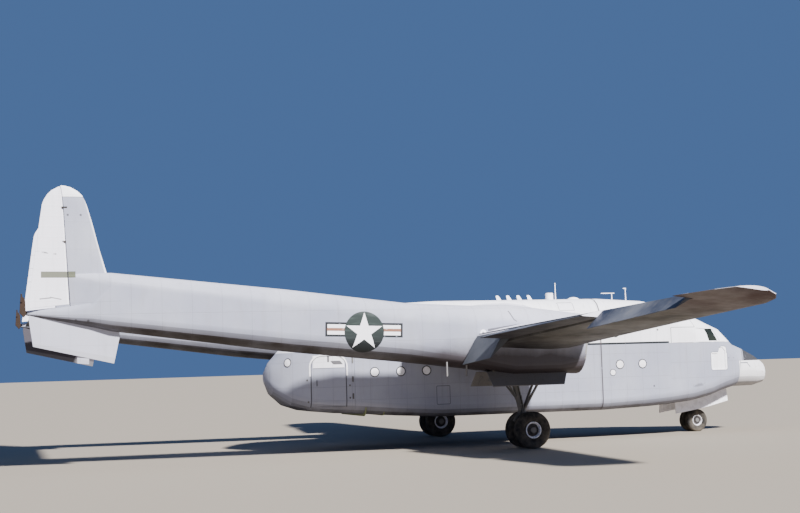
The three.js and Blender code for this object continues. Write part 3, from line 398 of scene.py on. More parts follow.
def nose_paint():
    """The nose: white coat over the roof and windows, hatch outline, dark panel ahead of the windshield."""
    c, paint, x, z = begin("nose_paint")
    seam, rivets = skin_detail(paint, x, z, pitch=0.7, rows=(1.95, 2.5))
    limit = z + paint.noise(3.0) * 0.02
    roof = paint.over(limit, ROOF_LINE, 0.01)
    faint_seam, faint_rivets = seam * (1 - roof * 0.85), rivets * (1 - roof * 0.8)
    base = paint.mix(roof, c.pale, c.coat)
    lined, rough, height = weathered(paint, base, faint_seam, faint_rivets, grime_and_shade=0.18)
    # Painted shade: the faces that look down are darkened
    belly = paint.beneath(0.15, 0.8) * (0.5 + paint.patchy(1.3, 0.3, 0.7) * 0.4)
    marked = paint.mix(belly, lined, c.grime_and_shade)
    pane = paint.least(
        paint.plate((10.12, 2.2), (10.82, 2.82), 0.07),
        paint.plate((10.5, 2.3), (10.8, 3.02), 0.1, u=x - (z - 2.9) * 0.08),
    ) + paint.noise(9.0) * 0.014 - 0.007
    marked = paint.mix(1 - paint.over(pane, 0.0, 0.006), marked, c.coat)
    front, above = x + abs(paint.y) * 0.53, paint.over(z, 2.5)
    brow = paint.over(0.74 - abs(paint.y), 0.0, 0.01) * paint.over(x, 11.12, 0.01)
    deck = paint.most(paint.over(front, 12.3, 0.01), brow) * above
    scuffed = deck * (0.95 - paint.patchy(8.0, 0.6, 0.75) * 0.3)
    marked = paint.mix(scuffed, marked, (0.022, 0.022, 0.024))
    marked = paint.mix(slit_mask(paint), marked, (0.016, 0.019, 0.016))
    torn = paint.patchy(2.5, 0.35, 0.42) * paint.over(11.2 - x, 0.0)
    lines = paint.most(
        paint.outlined(pane - 0.012, 0.007),
        paint.within(limit, ROOF_LINE, 0.007, 0.006) * torn,
        paint.patch((8.5, 0.012, 0.006), (3.46, 0.27)),
        paint.patch((9.0, 0.5), (3.73, 0.011, 0.006)),
        paint.within(x - (3.9 - z) * 0.4, 9.44, 0.012, 0.008) * paint.within(z, 3.98, 0.25),
    )
    dots = paint.spots((10.91, 2.61, 0.022), (11.14, 2.61, 0.018), (10.68, 2.34, 0.03))
    smudge = paint.within(x, 9.55, 0.22, 0.1) * paint.within(z - x * 0.12, 0.55, 0.05, 0.06)
    edge = paint.within(front, 12.26, 0.012) * above
    soiled = edge * 0.8 + smudge * paint.patchy(7.0, 0.4, 0.5) * 0.5
    dark = paint.clamped(lines * 0.85 + dots * 0.8 + soiled)
    return paint.finish(paint.mix(dark, marked, (0.055, 0.05, 0.055)), rough + deck * 0.3, height)


def radome_paint():
    """Coated radome: dark seam at its rear, a hooked scratch and chips near the tip."""
    c, paint, x, z = begin("radome_paint")
    seam = paint.clamped(paint.within(x, 11.48, 0.012) * (0.5 + paint.over(z, 2.3, 0.1)))
    lined, rough, height = weathered(paint, paint.mix(0.2, c.coat, (0.72, 0.68, 0.64)), seam, seam * 0)
    # Painted shade: the faces that look down are darkened
    lined = paint.mix(paint.beneath(0.1, 0.8) * 0.75, lined, c.grime_and_shade)
    hook = paint.most(
        paint.patch((11.68, 0.2), (2.42, 0.018)),
        paint.within(z + x * 0.9, 13.06, 0.022) * paint.within(x, 11.92, 0.07),
        seam * paint.over(z, 2.2, 0.1),
    )
    chips = paint.patchy(9.0, 0.62, 0.7) * paint.over(x, 12.2, 0.4)
    marked = paint.mix(chips * 0.4, lined, (0.36, 0.31, 0.24))
    return paint.finish(paint.mix(hook * 0.85, marked, (0.04, 0.05, 0.07)), rough - 0.1, height)


def boom_paint():
    """Booms: pale grey, seamed, with the star in a disc and its two striped bars on the outer side."""
    c, paint, x, z = begin("boom_paint")
    seam, rivets = skin_detail(paint, x, z, pitch=0.86, rows=(3.42, 4.36))
    base = paint.mix(paint.over(z + x * 0.11, 4.28, 0.6) * 0.5, c.pale, c.white)
    lined, rough, height = weathered(paint, base, seam, rivets, streak=(3, 3, 0.45))
    # Painted shade: the faces that look down are darkened
    underside_shade = paint.beneath(0.1, 0.6) * (0.82 + paint.patchy(1.2, 0.35, 0.65) * 0.16)
    lined = paint.mix(underside_shade, lined, c.grime_and_shade)
    # The lower front of the boom, below the wing, is darkened: painted shade of the wing, with exhaust soot
    soot_and_shade = paint.over(x, -1.9, 1.6) * paint.over(3.1 - x * 0.05 - z + paint.noise(1.3) * 0.5, 0.2, 0.5)
    marked = paint.mix(soot_and_shade * 0.86, lined, (0.045, 0.035, 0.038))
    ahead, rise = x - INSIGNIA["x"], z - INSIGNIA["z"]
    u, v = ahead - rise * INSIGNIA["slope"], rise + ahead * INSIGNIA["slope"]
    outside = paint.over(abs(paint.y), BOOM_Y, 0.01)
    worn = 1 - paint.patchy(14.0, 0.62, 0.7) * 0.5
    for length, width, soft, share, colour in (
        (1.19, 0.215, 0.01, worn, c.stripe),
        (1.125, 0.15, 0.01, 1.0, c.coat),
        (1.135, 0.045, 0.012, worn, (0.25, 0.12, 0.08)),
    ):
        bar = outside * paint.within(u, 0.0, length, 0.01) * paint.within(v, 0.06, width, soft)
        marked = paint.mix(bar * share, marked, colour)
    ring = outside * paint.clamped((INSIGNIA["disc"] - paint.root(u, v)) / 0.01)
    low = paint.over(v * -1, 0.1, 0.5)
    disc = paint.mix(low * 0.85, (0.02, 0.03, 0.027), (0.008, 0.009, 0.011))
    faded = paint.patchy(4.0, 0.5, 0.75, stretch=(0.4, 1, 3)) * (1 - low)
    marked = paint.mix(ring, marked, paint.mix(faded * 0.3, disc, (0.12, 0.15, 0.14)))
    marked = paint.mix(ring * star_mask(u, v, INSIGNIA["star"]), marked, c.coat)
    band = paint.within(z, *GREEN_BAND) * paint.over(x * -1, 11.83, 0.01)
    marked = paint.mix(band * 0.95, marked, c.band)
    strip = paint.within(z - x * 0.2, 3.475, 0.018) * paint.within(x, 1.18, 0.33)
    marked = paint.mix(outside * paint.most(strip, paint.spots((0.21, 3.6, 0.1))), marked, c.coat)
    slot_end = abs(z - 3.66 - (x - 0.37) * 0.19)
    fittings = paint.most(
        paint.within(z + x * 2.32, 6.83, 0.05, 0.02) * paint.within(z, 4.12, 0.14),
        paint.within(z + x * 0.58, 4.693, 0.018) * paint.within(x, 1.27, 0.05),
        paint.over(0.055 - (x - 0.37) * 0.052 - slot_end, 0.0, 0.006) * paint.over(x, 0.36),
        paint.spots((0.21, 3.59, 0.045)),
    )
    dots = paint.most(paint.spots((-11.84, 4.22, 0.035), (-11.5, 4.2, 0.035)), outside * fittings)
    root = paint.within(z - x * 0.02, 4.95, 0.008, 0.006) * paint.over(x * -1, 10.6)
    step = paint.patch((-10.9, 0.007, 0.006), (4.98, 0.55))
    marks = paint.clamped(dots * 0.8 + (root + step) * 0.2)
    return paint.finish(paint.mix(marks, marked, (0.05, 0.045, 0.05)), rough, height)


def fin_paint():
    """Fins: pale, with a white cap, the green band and a few dark fittings."""
    c, paint, x, z = begin("fin_paint")
    seam, rivets = skin_detail(paint, z, x, pitch=0.78, rows=(-11.4,))
    base = paint.mix(paint.over(z, 7.75), c.pale, c.coat)
    base = paint.mix(paint.over(x + (z - 5.6) * 0.26, -11.02, 0.04) * 0.8, base, c.coat)
    lined, rough, height = weathered(paint, base, seam * 0.7, rivets * 0.7, grime_and_shade=0.16)
    band = paint.within(z, *GREEN_BAND) * paint.over(x * -1, 11.83, 0.01)
    marked = paint.mix(band * 0.92, lined, c.band)
    dots = paint.spots((-12.03, 7.23, 0.032), (-11.67, 7.23, 0.032))
    dark = paint.clamped(paint.within(z, 7.75, 0.009) * 0.7 + dots * 0.8)
    marked = paint.mix(dark, marked, (0.045, 0.04, 0.045))
    # Painted shade: the low faces that look down are darkened
    under = paint.beneath(0.3, 0.6) * paint.over(4.6 - z, 0.0)
    return paint.finish(paint.mix(under * 0.8, marked, c.grime_and_shade), rough, height)


def rudder_paint():
    """Fabric rudders: rib tapes at even heights, tab seams, scratches and the green band."""
    c, paint, x, z = begin("rudder_paint")
    tapes = paint.clamped((0.03 - paint.fold(z, 0.3)) / 0.01)
    tab_ends = paint.most(paint.within(z, 6.18, 0.008), paint.within(z, 7.05, 0.008))
    tab = paint.most(tab_ends * paint.over(x * -1, 12.8), paint.patch((-12.86, 0.006), (6.6, 0.45)))
    lined, rough, _ = weathered(paint, c.white, tab, tapes * 0, grime_and_shade=0.14)
    lined = paint.mix(paint.over(x + (z - 4.7) * 0.045, -12.06, 0.01), lined, c.coat)
    band = paint.within(z, *GREEN_BAND) * paint.over(x, -12.78, 0.01)
    marked = paint.mix(band * 0.92, lined, c.band)
    hinges = paint.most(paint.patch((-12.14, 0.07), (7.45, 0.02)), paint.patch((-12.12, 0.07), (6.47, 0.02)))
    chipped = paint.within(z + x * 0.12, 4.63, 0.02) * paint.patchy(9.0, 0.42, 0.5)
    scratches = paint.most(
        chipped * paint.within(x, -12.55, 0.2),
        paint.within(z - x * 0.1, 6.12, 0.018) * paint.within(x, -12.66, 0.16),
        paint.within(z + x * 0.2, 2.38, 0.016) * paint.within(x, -12.38, 0.16),
    )
    dark = paint.clamped(hinges * 0.8 + scratches * 0.75)
    weave = paint.noise(260.0, detail=1.0)
    marked = paint.mix(dark, marked, (0.06, 0.05, 0.05))
    return paint.finish(marked, rough + 0.1, tapes * 0.6 + weave * 0.25 - tab)


def strake_paint():
    """Fins below the booms: pale outside, with painted shade where they face each other but for one patch left
    pale as painted light.
    """
    c, paint, x, z = begin("strake_paint")
    seam, rivets = skin_detail(paint, x, z, pitch=0.8, rows=(3.5,))
    base = paint.mix(0.25, c.pale, c.white)
    lined, rough, height = weathered(paint, base, seam * 0.6, rivets * 0.6, grime_and_shade=0.16)
    # Painted shade on the faces that look towards the middle; one patch low on each inner face is left pale, as
    # painted light
    inside = paint.over(paint.facing(1) * (0.5 - paint.over(paint.y, 0.0)) * 2, 0.3)
    patch = paint.within(x, -11.1, 0.2, 0.01) * paint.within(z + x * 0.1, 2.07, 0.1, 0.01)
    marked = paint.mix(inside * (1 - patch) * 0.93, lined, (0.03, 0.022, 0.03))
    edge = paint.over(z * -1 - x * 0.205, -0.94, 0.02)
    return paint.finish(paint.mix(edge * 0.3, marked, (0.3, 0.29, 0.3)), rough, height)


def wing_paint():
    """Wings: pale above; below and on faces that look aft, a dark olive brown of painted shade and painted
    ground reflection with dirt streaks, darkest near the root, a darker patch of painted shade and exhaust
    stain behind mid-span, and a reddish tip.
    """
    c, paint, x, _ = begin("wing_paint")
    reach = abs(paint.y)
    seam, rivets = skin_detail(paint, reach, x, pitch=0.92, rows=(0.9, 2.1, 2.95))
    rear = paint.over(paint.facing(0) * -1, 0.5, 0.1)
    below = paint.most(paint.over(paint.facing(2) * -1, 0.05, 0.2), rear)
    streaks = paint.patchy(1.3, 0.38, 0.7, stretch=(2.2, 0.35, 1), detail=6.0)
    # Painted shade and painted ground reflection below and on faces that look aft, with dirt streaks
    dirt_and_shade_below = paint.mix(streaks * 0.45, c.under, (0.08, 0.062, 0.035))
    dirt_and_shade_below = paint.mix(paint.over(reach, 14.0, 2.4) * 0.85, dirt_and_shade_below, (0.045, 0.016, 0.015))
    # Painted shade: the underside darkens to near black towards the root
    dirt_and_shade_below = paint.mix(paint.over(7.6 - reach, 0.0, 2.4) * 0.9, dirt_and_shade_below, (0.006, 0.004, 0.006))
    # A darker patch behind mid-span: painted shade, with exhaust stain
    behind = paint.over(2.3 - x, 0.0, 1.2) * paint.within(reach, 10.6, 1.9, 1.8)
    exhaust_and_shade = behind * paint.patchy(1.1, 0.3, 0.6, stretch=(1.2, 0.5, 1))
    dirt_and_shade_below = paint.mix(exhaust_and_shade * 0.8, dirt_and_shade_below, (0.016, 0.013, 0.01))
    base = paint.mix(below, c.white, dirt_and_shade_below)
    return paint.finish(*weathered(paint, base, seam, rivets, grime_and_shade=0.16, streak=(0.6, 4, 4)))


def surface_paint():
    """Flaps, ailerons and elevator: grey darkened to slate as painted shade, with chordwise ribs."""
    c, paint, x, _ = begin("surface_paint")
    reach = abs(paint.y)
    seam, rivets = skin_detail(paint, reach, x, pitch=0.46)
    lined, rough, height = weathered(paint, c.shaded_slate, seam * 0.5, rivets * 0.5, grime_and_shade=0.3, streak=(0.6, 4, 4))
    inner = paint.over(7.0 - reach, 0.0, 0.02) * paint.over(x, -9.0)
    lined = paint.mix(inner * 0.6, lined, (0.05, 0.055, 0.06))
    # Painted shade: the faces that look down are darkened further
    lined = paint.mix(paint.over(paint.facing(2) * -1, 0.75, 0.2) * 0.6, lined, c.grime_and_shade)
    brow = paint.over(paint.facing(2), 0.84, 0.05) * inner
    return paint.finish(paint.mix(brow, lined, c.white), rough, height)


def coated_glass():
    """Glass under the white coat, with one dark slit left clear on each side."""
    c, paint, _, z = begin("coated_glass")
    ragged = paint.clamped(slit_mask(paint) * 1.3 - paint.patchy(18.0, 0.6, 0.7) * 0.3)
    streaks = paint.patchy(2.0, 0.5, 0.75, stretch=(5, 5, 0.5))
    base = paint.mix(streaks * 0.3, c.coat, (0.5, 0.48, 0.44))
    pane = paint.mix(paint.over(z, 3.4, 0.3) * 0.6, (0.022, 0.026, 0.02), (0.008, 0.01, 0.008))
    return paint.finish(paint.mix(ragged, base, pane), 0.55 - ragged * 0.4, paint.noise(9.0), 0.002)


def plain_paint(name, base, rough=0.5, metallic=0.0, wear=(0.2, 0.18, 0.16), amount=0.4, grain=6.0):
    paint = Paint(name)
    worn = paint.mix(paint.patchy(grain, 0.45, 0.72) * amount, base, wear)
    fine = paint.mix(paint.patchy(grain * 9, 0.55, 0.7, detail=2.0) * amount * 0.5, worn, (0.05, 0.045, 0.04))
    return paint.finish(fine, rough + paint.noise(grain * 2) * 0.2, paint.noise(grain * 6), 0.002, metallic)


def wheel_paint():
    """White rims; the dish inside them is dark, painted shade in the recess with brake dust."""
    c, paint, x, z = begin("wheel_enamel")
    share = paint.least(*(
        paint.root(x - wheel["x"], z - wheel["radius"]) / wheel["rim"] for wheel in (MAIN_WHEEL, NOSE_WHEEL)
    ))
    flange = paint.over(share + paint.noise(9.0) * 0.08, 0.8, 0.04)
    # Painted shade: the recessed dish inside the flange is dark, with brake dust
    base = paint.mix(flange, (0.045, 0.042, 0.042), c.coat)
    hub = paint.over(0.36 - share, 0.0, 0.03)
    base = paint.mix(hub * 0.5, base, (0.3, 0.29, 0.28))
    worn = paint.mix(paint.patchy(14.0, 0.5, 0.72) * 0.5, base, (0.13, 0.1, 0.08))
    return paint.finish(worn, 0.45 + paint.noise(12.0) * 0.2, paint.noise(40.0), 0.002, 0.2)


def rubber_paint():
    """Cracked rubber, dusty low down."""
    c, paint, _, z = begin("tyre_rubber")
    dusty = paint.mix(paint.patchy(5.0, 0.35, 0.7) * 0.6, c.rubber, (0.16, 0.135, 0.105))
    low = paint.clamped((0.16 - z) * 5)
    cracked = paint.noise(60.0, detail=6.0, rough=0.7)
    return paint.finish(paint.mix(low * 0.6, dusty, (0.24, 0.2, 0.15)), 0.86, cracked, 0.003)


def deck_paint():
    """Cargo deck: worn planks."""
    c, paint, _, _ = begin("deck_paint")
    boards = paint.clamped((0.006 - paint.fold(paint.y, 0.24)) / 0.004 + 0.5)
    scuffs = paint.patchy(2.0, 0.45, 0.65, stretch=(0.5, 5, 1))
    base = paint.mix(scuffs * 0.5, c.deck, (0.36, 0.34, 0.3))
    return paint.finish(paint.mix(boards * 0.7, base, (0.04, 0.035, 0.03)), 0.7, boards * -1 + scuffs * 0.3)


PAINTS = {
    "pod": pod_paint,
    "nose": nose_paint,
    "radome": radome_paint,
    "boom": boom_paint,
    "fin": fin_paint,
    "rudder": rudder_paint,
    "strake": strake_paint,
    "wing": wing_paint,
    "surface": surface_paint,
    "glazing": coated_glass,
    "rubber": rubber_paint,
    "deck": deck_paint,
    "coat": lambda: plain_paint("storage_coat", colours().coat, 0.6, amount=0.25),
    # Painted shade: a dark sheet that stands in for the shade on the white main gear doors, their ribs and the
    # drain masts
    "shade_sheet": lambda: plain_paint("painted_shade_sheet", (0.2, 0.19, 0.19), 0.7, amount=0.5, grain=3.0),
    "enamel": lambda: plain_paint("gear_enamel", colours().steel, 0.45, 0.35, amount=0.5),
    "wheel": wheel_paint,
    "dark": lambda: plain_paint("dark_metal", (0.03, 0.028, 0.026), 0.6, 0.3, wear=(0.12, 0.09, 0.06)),
    "bare": lambda: plain_paint(
        "bare_sheet", (0.4, 0.39, 0.37), 0.38, 0.8, wear=(0.13, 0.1, 0.08), amount=0.6,
    ),
    "chrome": lambda: plain_paint("oleo_chrome", (0.62, 0.62, 0.6), 0.18, 0.95, amount=0.3),
    "rust": lambda: plain_paint(
        "rusty_steel", colours().rust, 0.8, 0.2, wear=(0.03, 0.022, 0.017), amount=0.7,
    ),
    "primer": lambda: plain_paint("green_primer", colours().primer, 0.65, 0.0, amount=0.35),
    "seal": lambda: plain_paint("dark_seal", (0.02, 0.02, 0.02), 0.75, 0.0, amount=0.2),
}
MADE = {}


def paint_for(name):
    if name not in MADE:
        MADE[name] = PAINTS[name]()
    return MADE[name]


def add_object(name, data):
    made = bpy.data.objects.new(name, data)
    bpy.context.scene.collection.objects.link(made)
    return made


def mesh_object(name, bm, material):
    """An object at the origin, made of a bmesh that it frees."""
    mesh = bpy.data.meshes.new(name)
    bm.to_mesh(mesh)
    bm.free()
    mesh.materials.append(material)
    return add_object(name, mesh)


def place(bm, name, body, paint, slot, sharp=35, bevel=0.0, turn_out=True):
    """Makes a finished piece of a bmesh, riding on a body."""
    if turn_out:
        bmesh.ops.recalc_face_normals(bm, faces=bm.faces)
    for face in bm.faces:
        face.smooth = True
    for edge in bm.edges:
        edge.smooth = len(edge.link_faces) == 2 and edge.calc_face_angle(0) < math.radians(sharp)
    piece = mesh_object(name, bm, paint_for(paint))
    if bevel:
        rounding = piece.modifiers.new("edges", "BEVEL")
        rounding.width, rounding.segments, rounding.limit_method = bevel, 2, "ANGLE"
        rounding.angle_limit = math.radians(sharp)
        rounding.harden_normals = False
    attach(piece, body)
    return piece


def add_block(bm, low, high):
    low, high = Vector(low), Vector(high)
    middle = Matrix.Translation((low + high) / 2) @ Matrix.Diagonal((*(high - low), 1))
    bmesh.ops.create_cube(bm, size=1, matrix=middle)


def aim(start, end):
    """The distance between two points, and the turn that lays a Z axis between them."""
    start, end = Vector(start), Vector(end)
    turn = (end - start).to_track_quat("Z", "Y").to_matrix().to_4x4()
    return (end - start).length, Matrix.Translation((start + end) / 2) @ turn


def add_rod(bm, start, end, radius, thin=None, steps=16):
    """A round rod or, with thin, a taper."""
    reach, matrix = aim(start, end)
    bmesh.ops.create_cone(
        bm, cap_ends=True, segments=steps, radius1=radius, radius2=radius if thin is None else thin,
        depth=reach, matrix=matrix,
    )


def add_rods(bm, rows, steps=16):
    """Rods, each from its start, end and radius."""
    for start, end, radius in rows:
        add_rod(bm, start, end, radius, steps=steps)


def add_ball(bm, centre, radii, steps=20):
    matrix = Matrix.Translation(centre) @ Matrix.Diagonal((*radii, 1))
    bmesh.ops.create_uvsphere(bm, u_segments=steps, v_segments=steps // 2, radius=1, matrix=matrix)


def add_spin(bm, profile, centre, axis, steps=48):
    """Turns a profile of (radius, distance along the axis) round an axis."""
    axis = Vector(axis).normalized()
    side = axis.orthogonal().normalized()
    verts = [bm.verts.new(Vector(centre) + side * r + axis * t) for r, t in profile]
    edges = [bm.edges.new(pair) for pair in zip(verts, verts[1:])]
    bmesh.ops.spin(
        bm, geom=verts + edges, cent=Vector(centre), axis=axis, angle=2 * math.pi, steps=steps,
        use_merge=True,
    )
    bmesh.ops.remove_doubles(bm, verts=bm.verts, dist=1e-6)


def bridge_rings(bm, rings, closed):
    """Bridges rings of points in turn and, where closed, the last to the first."""
    loops = []
    for ring in rings:
        verts = [bm.verts.new(p) for p in ring]
        loops.append([bm.edges.new(pair) for pair in zip(verts, verts[1:] + verts[:1])])
    following = loops[1:] + loops[:1] if closed else loops[1:]
    for near, far in zip(loops, following):
        bmesh.ops.bridge_loops(bm, edges=near + far)
    return loops


def add_loft(bm, rings):
    """A solid through rings of points, closed at both ends."""
    loops = bridge_rings(bm, rings, closed=False)
    for loop in (loops[0], loops[-1]):
        bmesh.ops.edgeloop_fill(bm, edges=loop)


def add_hoop(bm, rings):
    """A closed band through rings of points."""
    bridge_rings(bm, rings, closed=True)


def rounded(x, centre_y, shape, inset, steps=6):
    """Points of a rounded rectangle across the X axis, drawn in by inset."""
    half, low, high, top, bottom = (shape[key] for key in ("half", "low", "high", "top", "bottom"))
    corners = [
        (half - bottom, low + bottom, bottom - inset, -90), (half - top, high - top, top - inset, 0),
        (top - half, high - top, top - inset, 90), (bottom - half, low + bottom, bottom - inset, 180),
    ]
    points = []
    for y, z, radius, start in corners:
        for step in range(steps + 1):
            angle = math.radians(start + 90 * step / steps)
            points.append(Vector((x, centre_y + y + radius * math.cos(angle), z + radius * math.sin(angle))))
    return points


def add_bar(bm, start, end, width, height):
    """A square bar from one point to another."""
    reach, matrix = aim(start, end)
    bmesh.ops.create_cube(bm, size=1, matrix=matrix @ Matrix.Diagonal((width, height, reach, 1)))


def add_strap(bm, node, path, sign, low, high, proud, sunk=0.01):
    """A raised strip on the side of a node, along a path of (x, z, outward x, outward z)."""
    rings = []
    for x, z, out_x, out_z in path:
        near, inner = on_side(node, x + out_x * low, z + out_z * low, sign)
        far, outer = on_side(node, x + out_x * high, z + out_z * high, sign)
        rings.append([near - inner * sunk, near + inner * proud, far + outer * proud, far - outer * sunk])
    add_loft(bm, rings)


def trailing_corners(node):
    """The rear corner of a control surface at each of its ends."""
    points = [vert.co.copy() for vert in NODES[node].data.vertices]
    key = 2 if "rudder" in node else 1
    low, high = min(p[key] for p in points), max(p[key] for p in points)
    share = 0.3 * (high - low)
    ends = [[p for p in points if p[key] < low + share], [p for p in points if p[key] > high - share]]
    return [min(end, key=lambda p: p.x) for end in ends]


def add_tube(bm, points, radius, steps=8):
    """A bent pipe through points."""
    for start, end in zip(points, points[1:]):
        add_rod(bm, start, end, radius, steps=steps)
    for middle in points[1:-1]:
        add_ball(bm, middle, (radius,) * 3, steps=8)


def add_handle(bm, point, normal, along, half, feet, proud):
    """A bar handle on two posts."""
    for reach in (-feet, feet):
        add_rod(bm, point + along * reach, point + along * reach + normal * proud, 0.008, steps=10)
    middle = point + normal * proud
    add_rod(bm, middle - along * half, middle + along * half, 0.011, steps=12)


def add_wicks(bm, node, shares):
    """Static wicks behind a control surface."""
    low, high = trailing_corners(node)
    for share in shares:
        start = low.lerp(high, share)
        add_rod(bm, start + X_AXIS * 0.02, start - X_AXIS * 0.12 - Z_AXIS * 0.01, 0.004, 0.002, 8)


def skin(node, paint, slot):
    """A smooth-shaded copy of a CAD node, with rounded sheet edges, in the node's place."""
    bm = bmesh.new()
    bm.from_mesh(NODES[node].data)
    bmesh.ops.remove_doubles(bm, verts=bm.verts, dist=WELD)
    bmesh.ops.dissolve_limit(bm, angle_limit=math.radians(0.4), verts=bm.verts, edges=bm.edges)
    body = NODES[node]["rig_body"]
    piece = place(bm, f"{node}_skin", body, paint, slot, 32, sizes().edge, turn_out=False)
    piece.modifiers.new("shading", "WEIGHTED_NORMAL").keep_sharp = True
    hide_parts(node)


TREES = {}


def meet(node, start, way):
    """Where a line first meets a CAD node, and the node's normal there."""
    if node not in TREES:
        bm = bmesh.new()
        bm.from_mesh(NODES[node].data)
        TREES[node] = BVHTree.FromBMesh(bm)
        bm.free()
    point, normal, _, _ = TREES[node].ray_cast(Vector(start), Vector(way))
    if point is None:
        raise RuntimeError(f"nothing of {node} from {start}")
    return point, normal


def on_side(node, x, z, sign):
    return meet(node, (x, sign * 9, z), (0, -sign, 0))


def on_top(node, x, y):
    return meet(node, (x, y, 12), (0, 0, -1))


SKINS = [
    ("cargo_fuselage crew_door clamshell_right clamshell_left", "pod", "pale_paint"),
    ("paratroop_door_right paratroop_door_left", "pod", "white_paint"),
    ("cockpit_shell", "nose", "white_paint"),
    ("nose_radome", "radome", "radome_skin"),
    ("windshield_right windshield_left side_window_right side_window_left", "glazing", "glazing"),
    ("lower_window_right lower_window_left", "glazing", "glazing"),
    ("cargo_floor cockpit_floor", "deck", "cargo_deck"),
    ("centre_wing_right centre_wing_left outer_wing_right outer_wing_left", "wing", "pale_paint"),
    ("inner_flap_right inner_flap_left outer_flap_right outer_flap_left", "surface", "slate_paint"),
    ("aileron_right aileron_left elevator", "surface", "slate_fabric"),
    ("boom_right boom_left", "boom", "pale_paint"),
    ("ventral_fin_right ventral_fin_left", "strake", "pale_paint"),
    ("firewall_right firewall_left", "bare", "firewall_sheet"),
    ("fin_right fin_left stabiliser", "fin", "white_paint"),
    ("rudder_right rudder_left", "rudder", "white_fabric"),
    ("main_leg_right main_leg_left nose_leg nose_steering_fork", "enamel", "gear_steel"),
    # The main gear doors are white; they are drawn dark as painted shade
    ("gear_door_right_outer gear_door_right_inner", "shade_sheet", "white_paint"),
    ("gear_door_left_outer gear_door_left_inner", "shade_sheet", "white_paint"),
    ("nose_gear_door_right nose_gear_door_left", "coat", "white_paint"),
]


class PLANE_OT_skins(bpy.types.Operator):
    """Dress every rigid panel of the frame in its weathered paint"""

    bl_idname = "plane.skins"
    bl_label = "Skins"

    def execute(self, context):
        for names, paint, slot in SKINS:
            for node in names.split():
                skin(node, paint, slot)
        return {"FINISHED"}


# Each wheel's body, hub, place across and tyres, by the side that they are on
WHEELS = [
    {**MAIN_WHEEL, "body": "main_wheels_right", "hub": "main_wheel_hub_right", "y": -BOOM_Y,
     "tyres": {1: "main_tyre_right_inner", -1: "main_tyre_right_outer"}},
    {**MAIN_WHEEL, "body": "main_wheels_left", "hub": "main_wheel_hub_left", "y": BOOM_Y,
     "tyres": {1: "main_tyre_left_outer", -1: "main_tyre_left_inner"}},
    {**NOSE_WHEEL, "body": "nose_wheels", "hub": "nose_wheel_hub", "y": 0.0,
     "tyres": {1: "nose_tyre_left", -1: "nose_tyre_right"}},
]


def make_tyre(wheel, way, node):
    """A ribbed tyre with a round shoulder and a raised bead."""
    bm = bmesh.new()
    half, outer, rim = wheel["width"] / 2, wheel["radius"], wheel["rim"]
    depth = outer - rim
    crown = outer - 0.002
    ribs = []
    for share in (-0.52, -0.26, 0.0, 0.26, 0.52):
        ribs += [(crown, share * half - 0.014), (crown - 0.012, share * half - 0.01),
                 (crown - 0.012, share * half + 0.01), (crown, share * half + 0.014)]
    side = [
        (rim, 0.7), (rim + depth * 0.06, 0.78), (rim + depth * 0.16, 0.84), (rim + depth * 0.4, 0.97),
        (rim + depth * 0.6, 0.985), (outer - depth * 0.2, 0.93), (outer - depth * 0.07, 0.8),
        (crown - 0.004, 0.66),
    ]
    near = [(r, -share * half) for r, share in side]
    far = [(r, share * half) for r, share in side[::-1]]
    profile = near + ribs + far + [(rim, -side[0][1] * half)]
    centre = Vector((wheel["x"], wheel["y"] + way * wheel["spread"], outer))
    add_spin(bm, profile, centre, Y_AXIS, steps=64)
    piece = place(bm, f"{node}_rubber", wheel["body"], "rubber", "tyre_rubber", sharp=50)
    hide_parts(node)


def make_hub(wheel):
    """Two rims with flanges, a dished web with bolts, and the axle between them."""
    bm = bmesh.new()
    rim, half = wheel["rim"] - 0.002, wheel["width"] / 2
    centre = Vector((wheel["x"], wheel["y"], wheel["radius"]))
    for way in (-1, 1):
        out, inn = wheel["spread"] + half * 0.8, wheel["spread"] - half * 0.86
        profile = [
            (0.04, inn), (rim * 0.5, inn), (rim, inn), (rim, out - 0.02), (rim * 0.97, out),
            (rim * 0.88, out), (rim * 0.84, out - half * 0.2), (rim * 0.8, out - half * 0.5),
            (rim * 0.5, out - half * 0.42), (rim * 0.4, out - half * 0.2), (rim * 0.34, out - 0.01),
            (rim * 0.3, out), (0.0, out),
        ]
        add_spin(bm, [(r, t * way) for r, t in profile], centre, Y_AXIS)
        for turn in range(HUB_BOLTS):
            angle = 2 * math.pi * turn / HUB_BOLTS
            spoke = Vector((math.cos(angle), 0, math.sin(angle))) * rim * 0.66
            start = centre + spoke + Y_AXIS * way * (out - half * 0.46)
            add_rod(bm, start, start + Y_AXIS * way * 0.018, 0.014, steps=6)
    add_rod(bm, centre - Y_AXIS * wheel["spread"], centre + Y_AXIS * wheel["spread"], wheel["rim"] * 0.17)
    piece = place(bm, f"{wheel['hub']}_rims", wheel["body"], "wheel", "wheel_enamel", sharp=38, bevel=0.002)
    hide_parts(wheel["hub"])


class PLANE_OT_wheels(bpy.types.Operator):
    """Turn the tyres and rims"""

    bl_idname = "plane.wheels"
    bl_label = "Wheels"

    def execute(self, context):
        for wheel in WHEELS:
            make_hub(wheel)
            for way, node in wheel["tyres"].items():
                make_tyre(wheel, way, node)
        return {"FINISHED"}


# Round windows: x, z and share of the full radius. On the left the crew door stands in the forward one's place
PORTHOLES = [
    (-2.29, 2.5, 1.0), (-1.41, 2.5, 1.0), (-0.53, 2.5, 1.0), (6.48, 2.5, 1.0), (7.34, 2.5, 1.0),
    (6.2, 2.23, 0.72), (6.36, 3.56, 0.8),
]
CLAMSHELL_PORTHOLES = [(-5.0, 2.88, 0.9)]
CREW_PORTHOLES = [(7.97, 2.5, 0.8)]
CREW_DOOR_FROM = 7.3
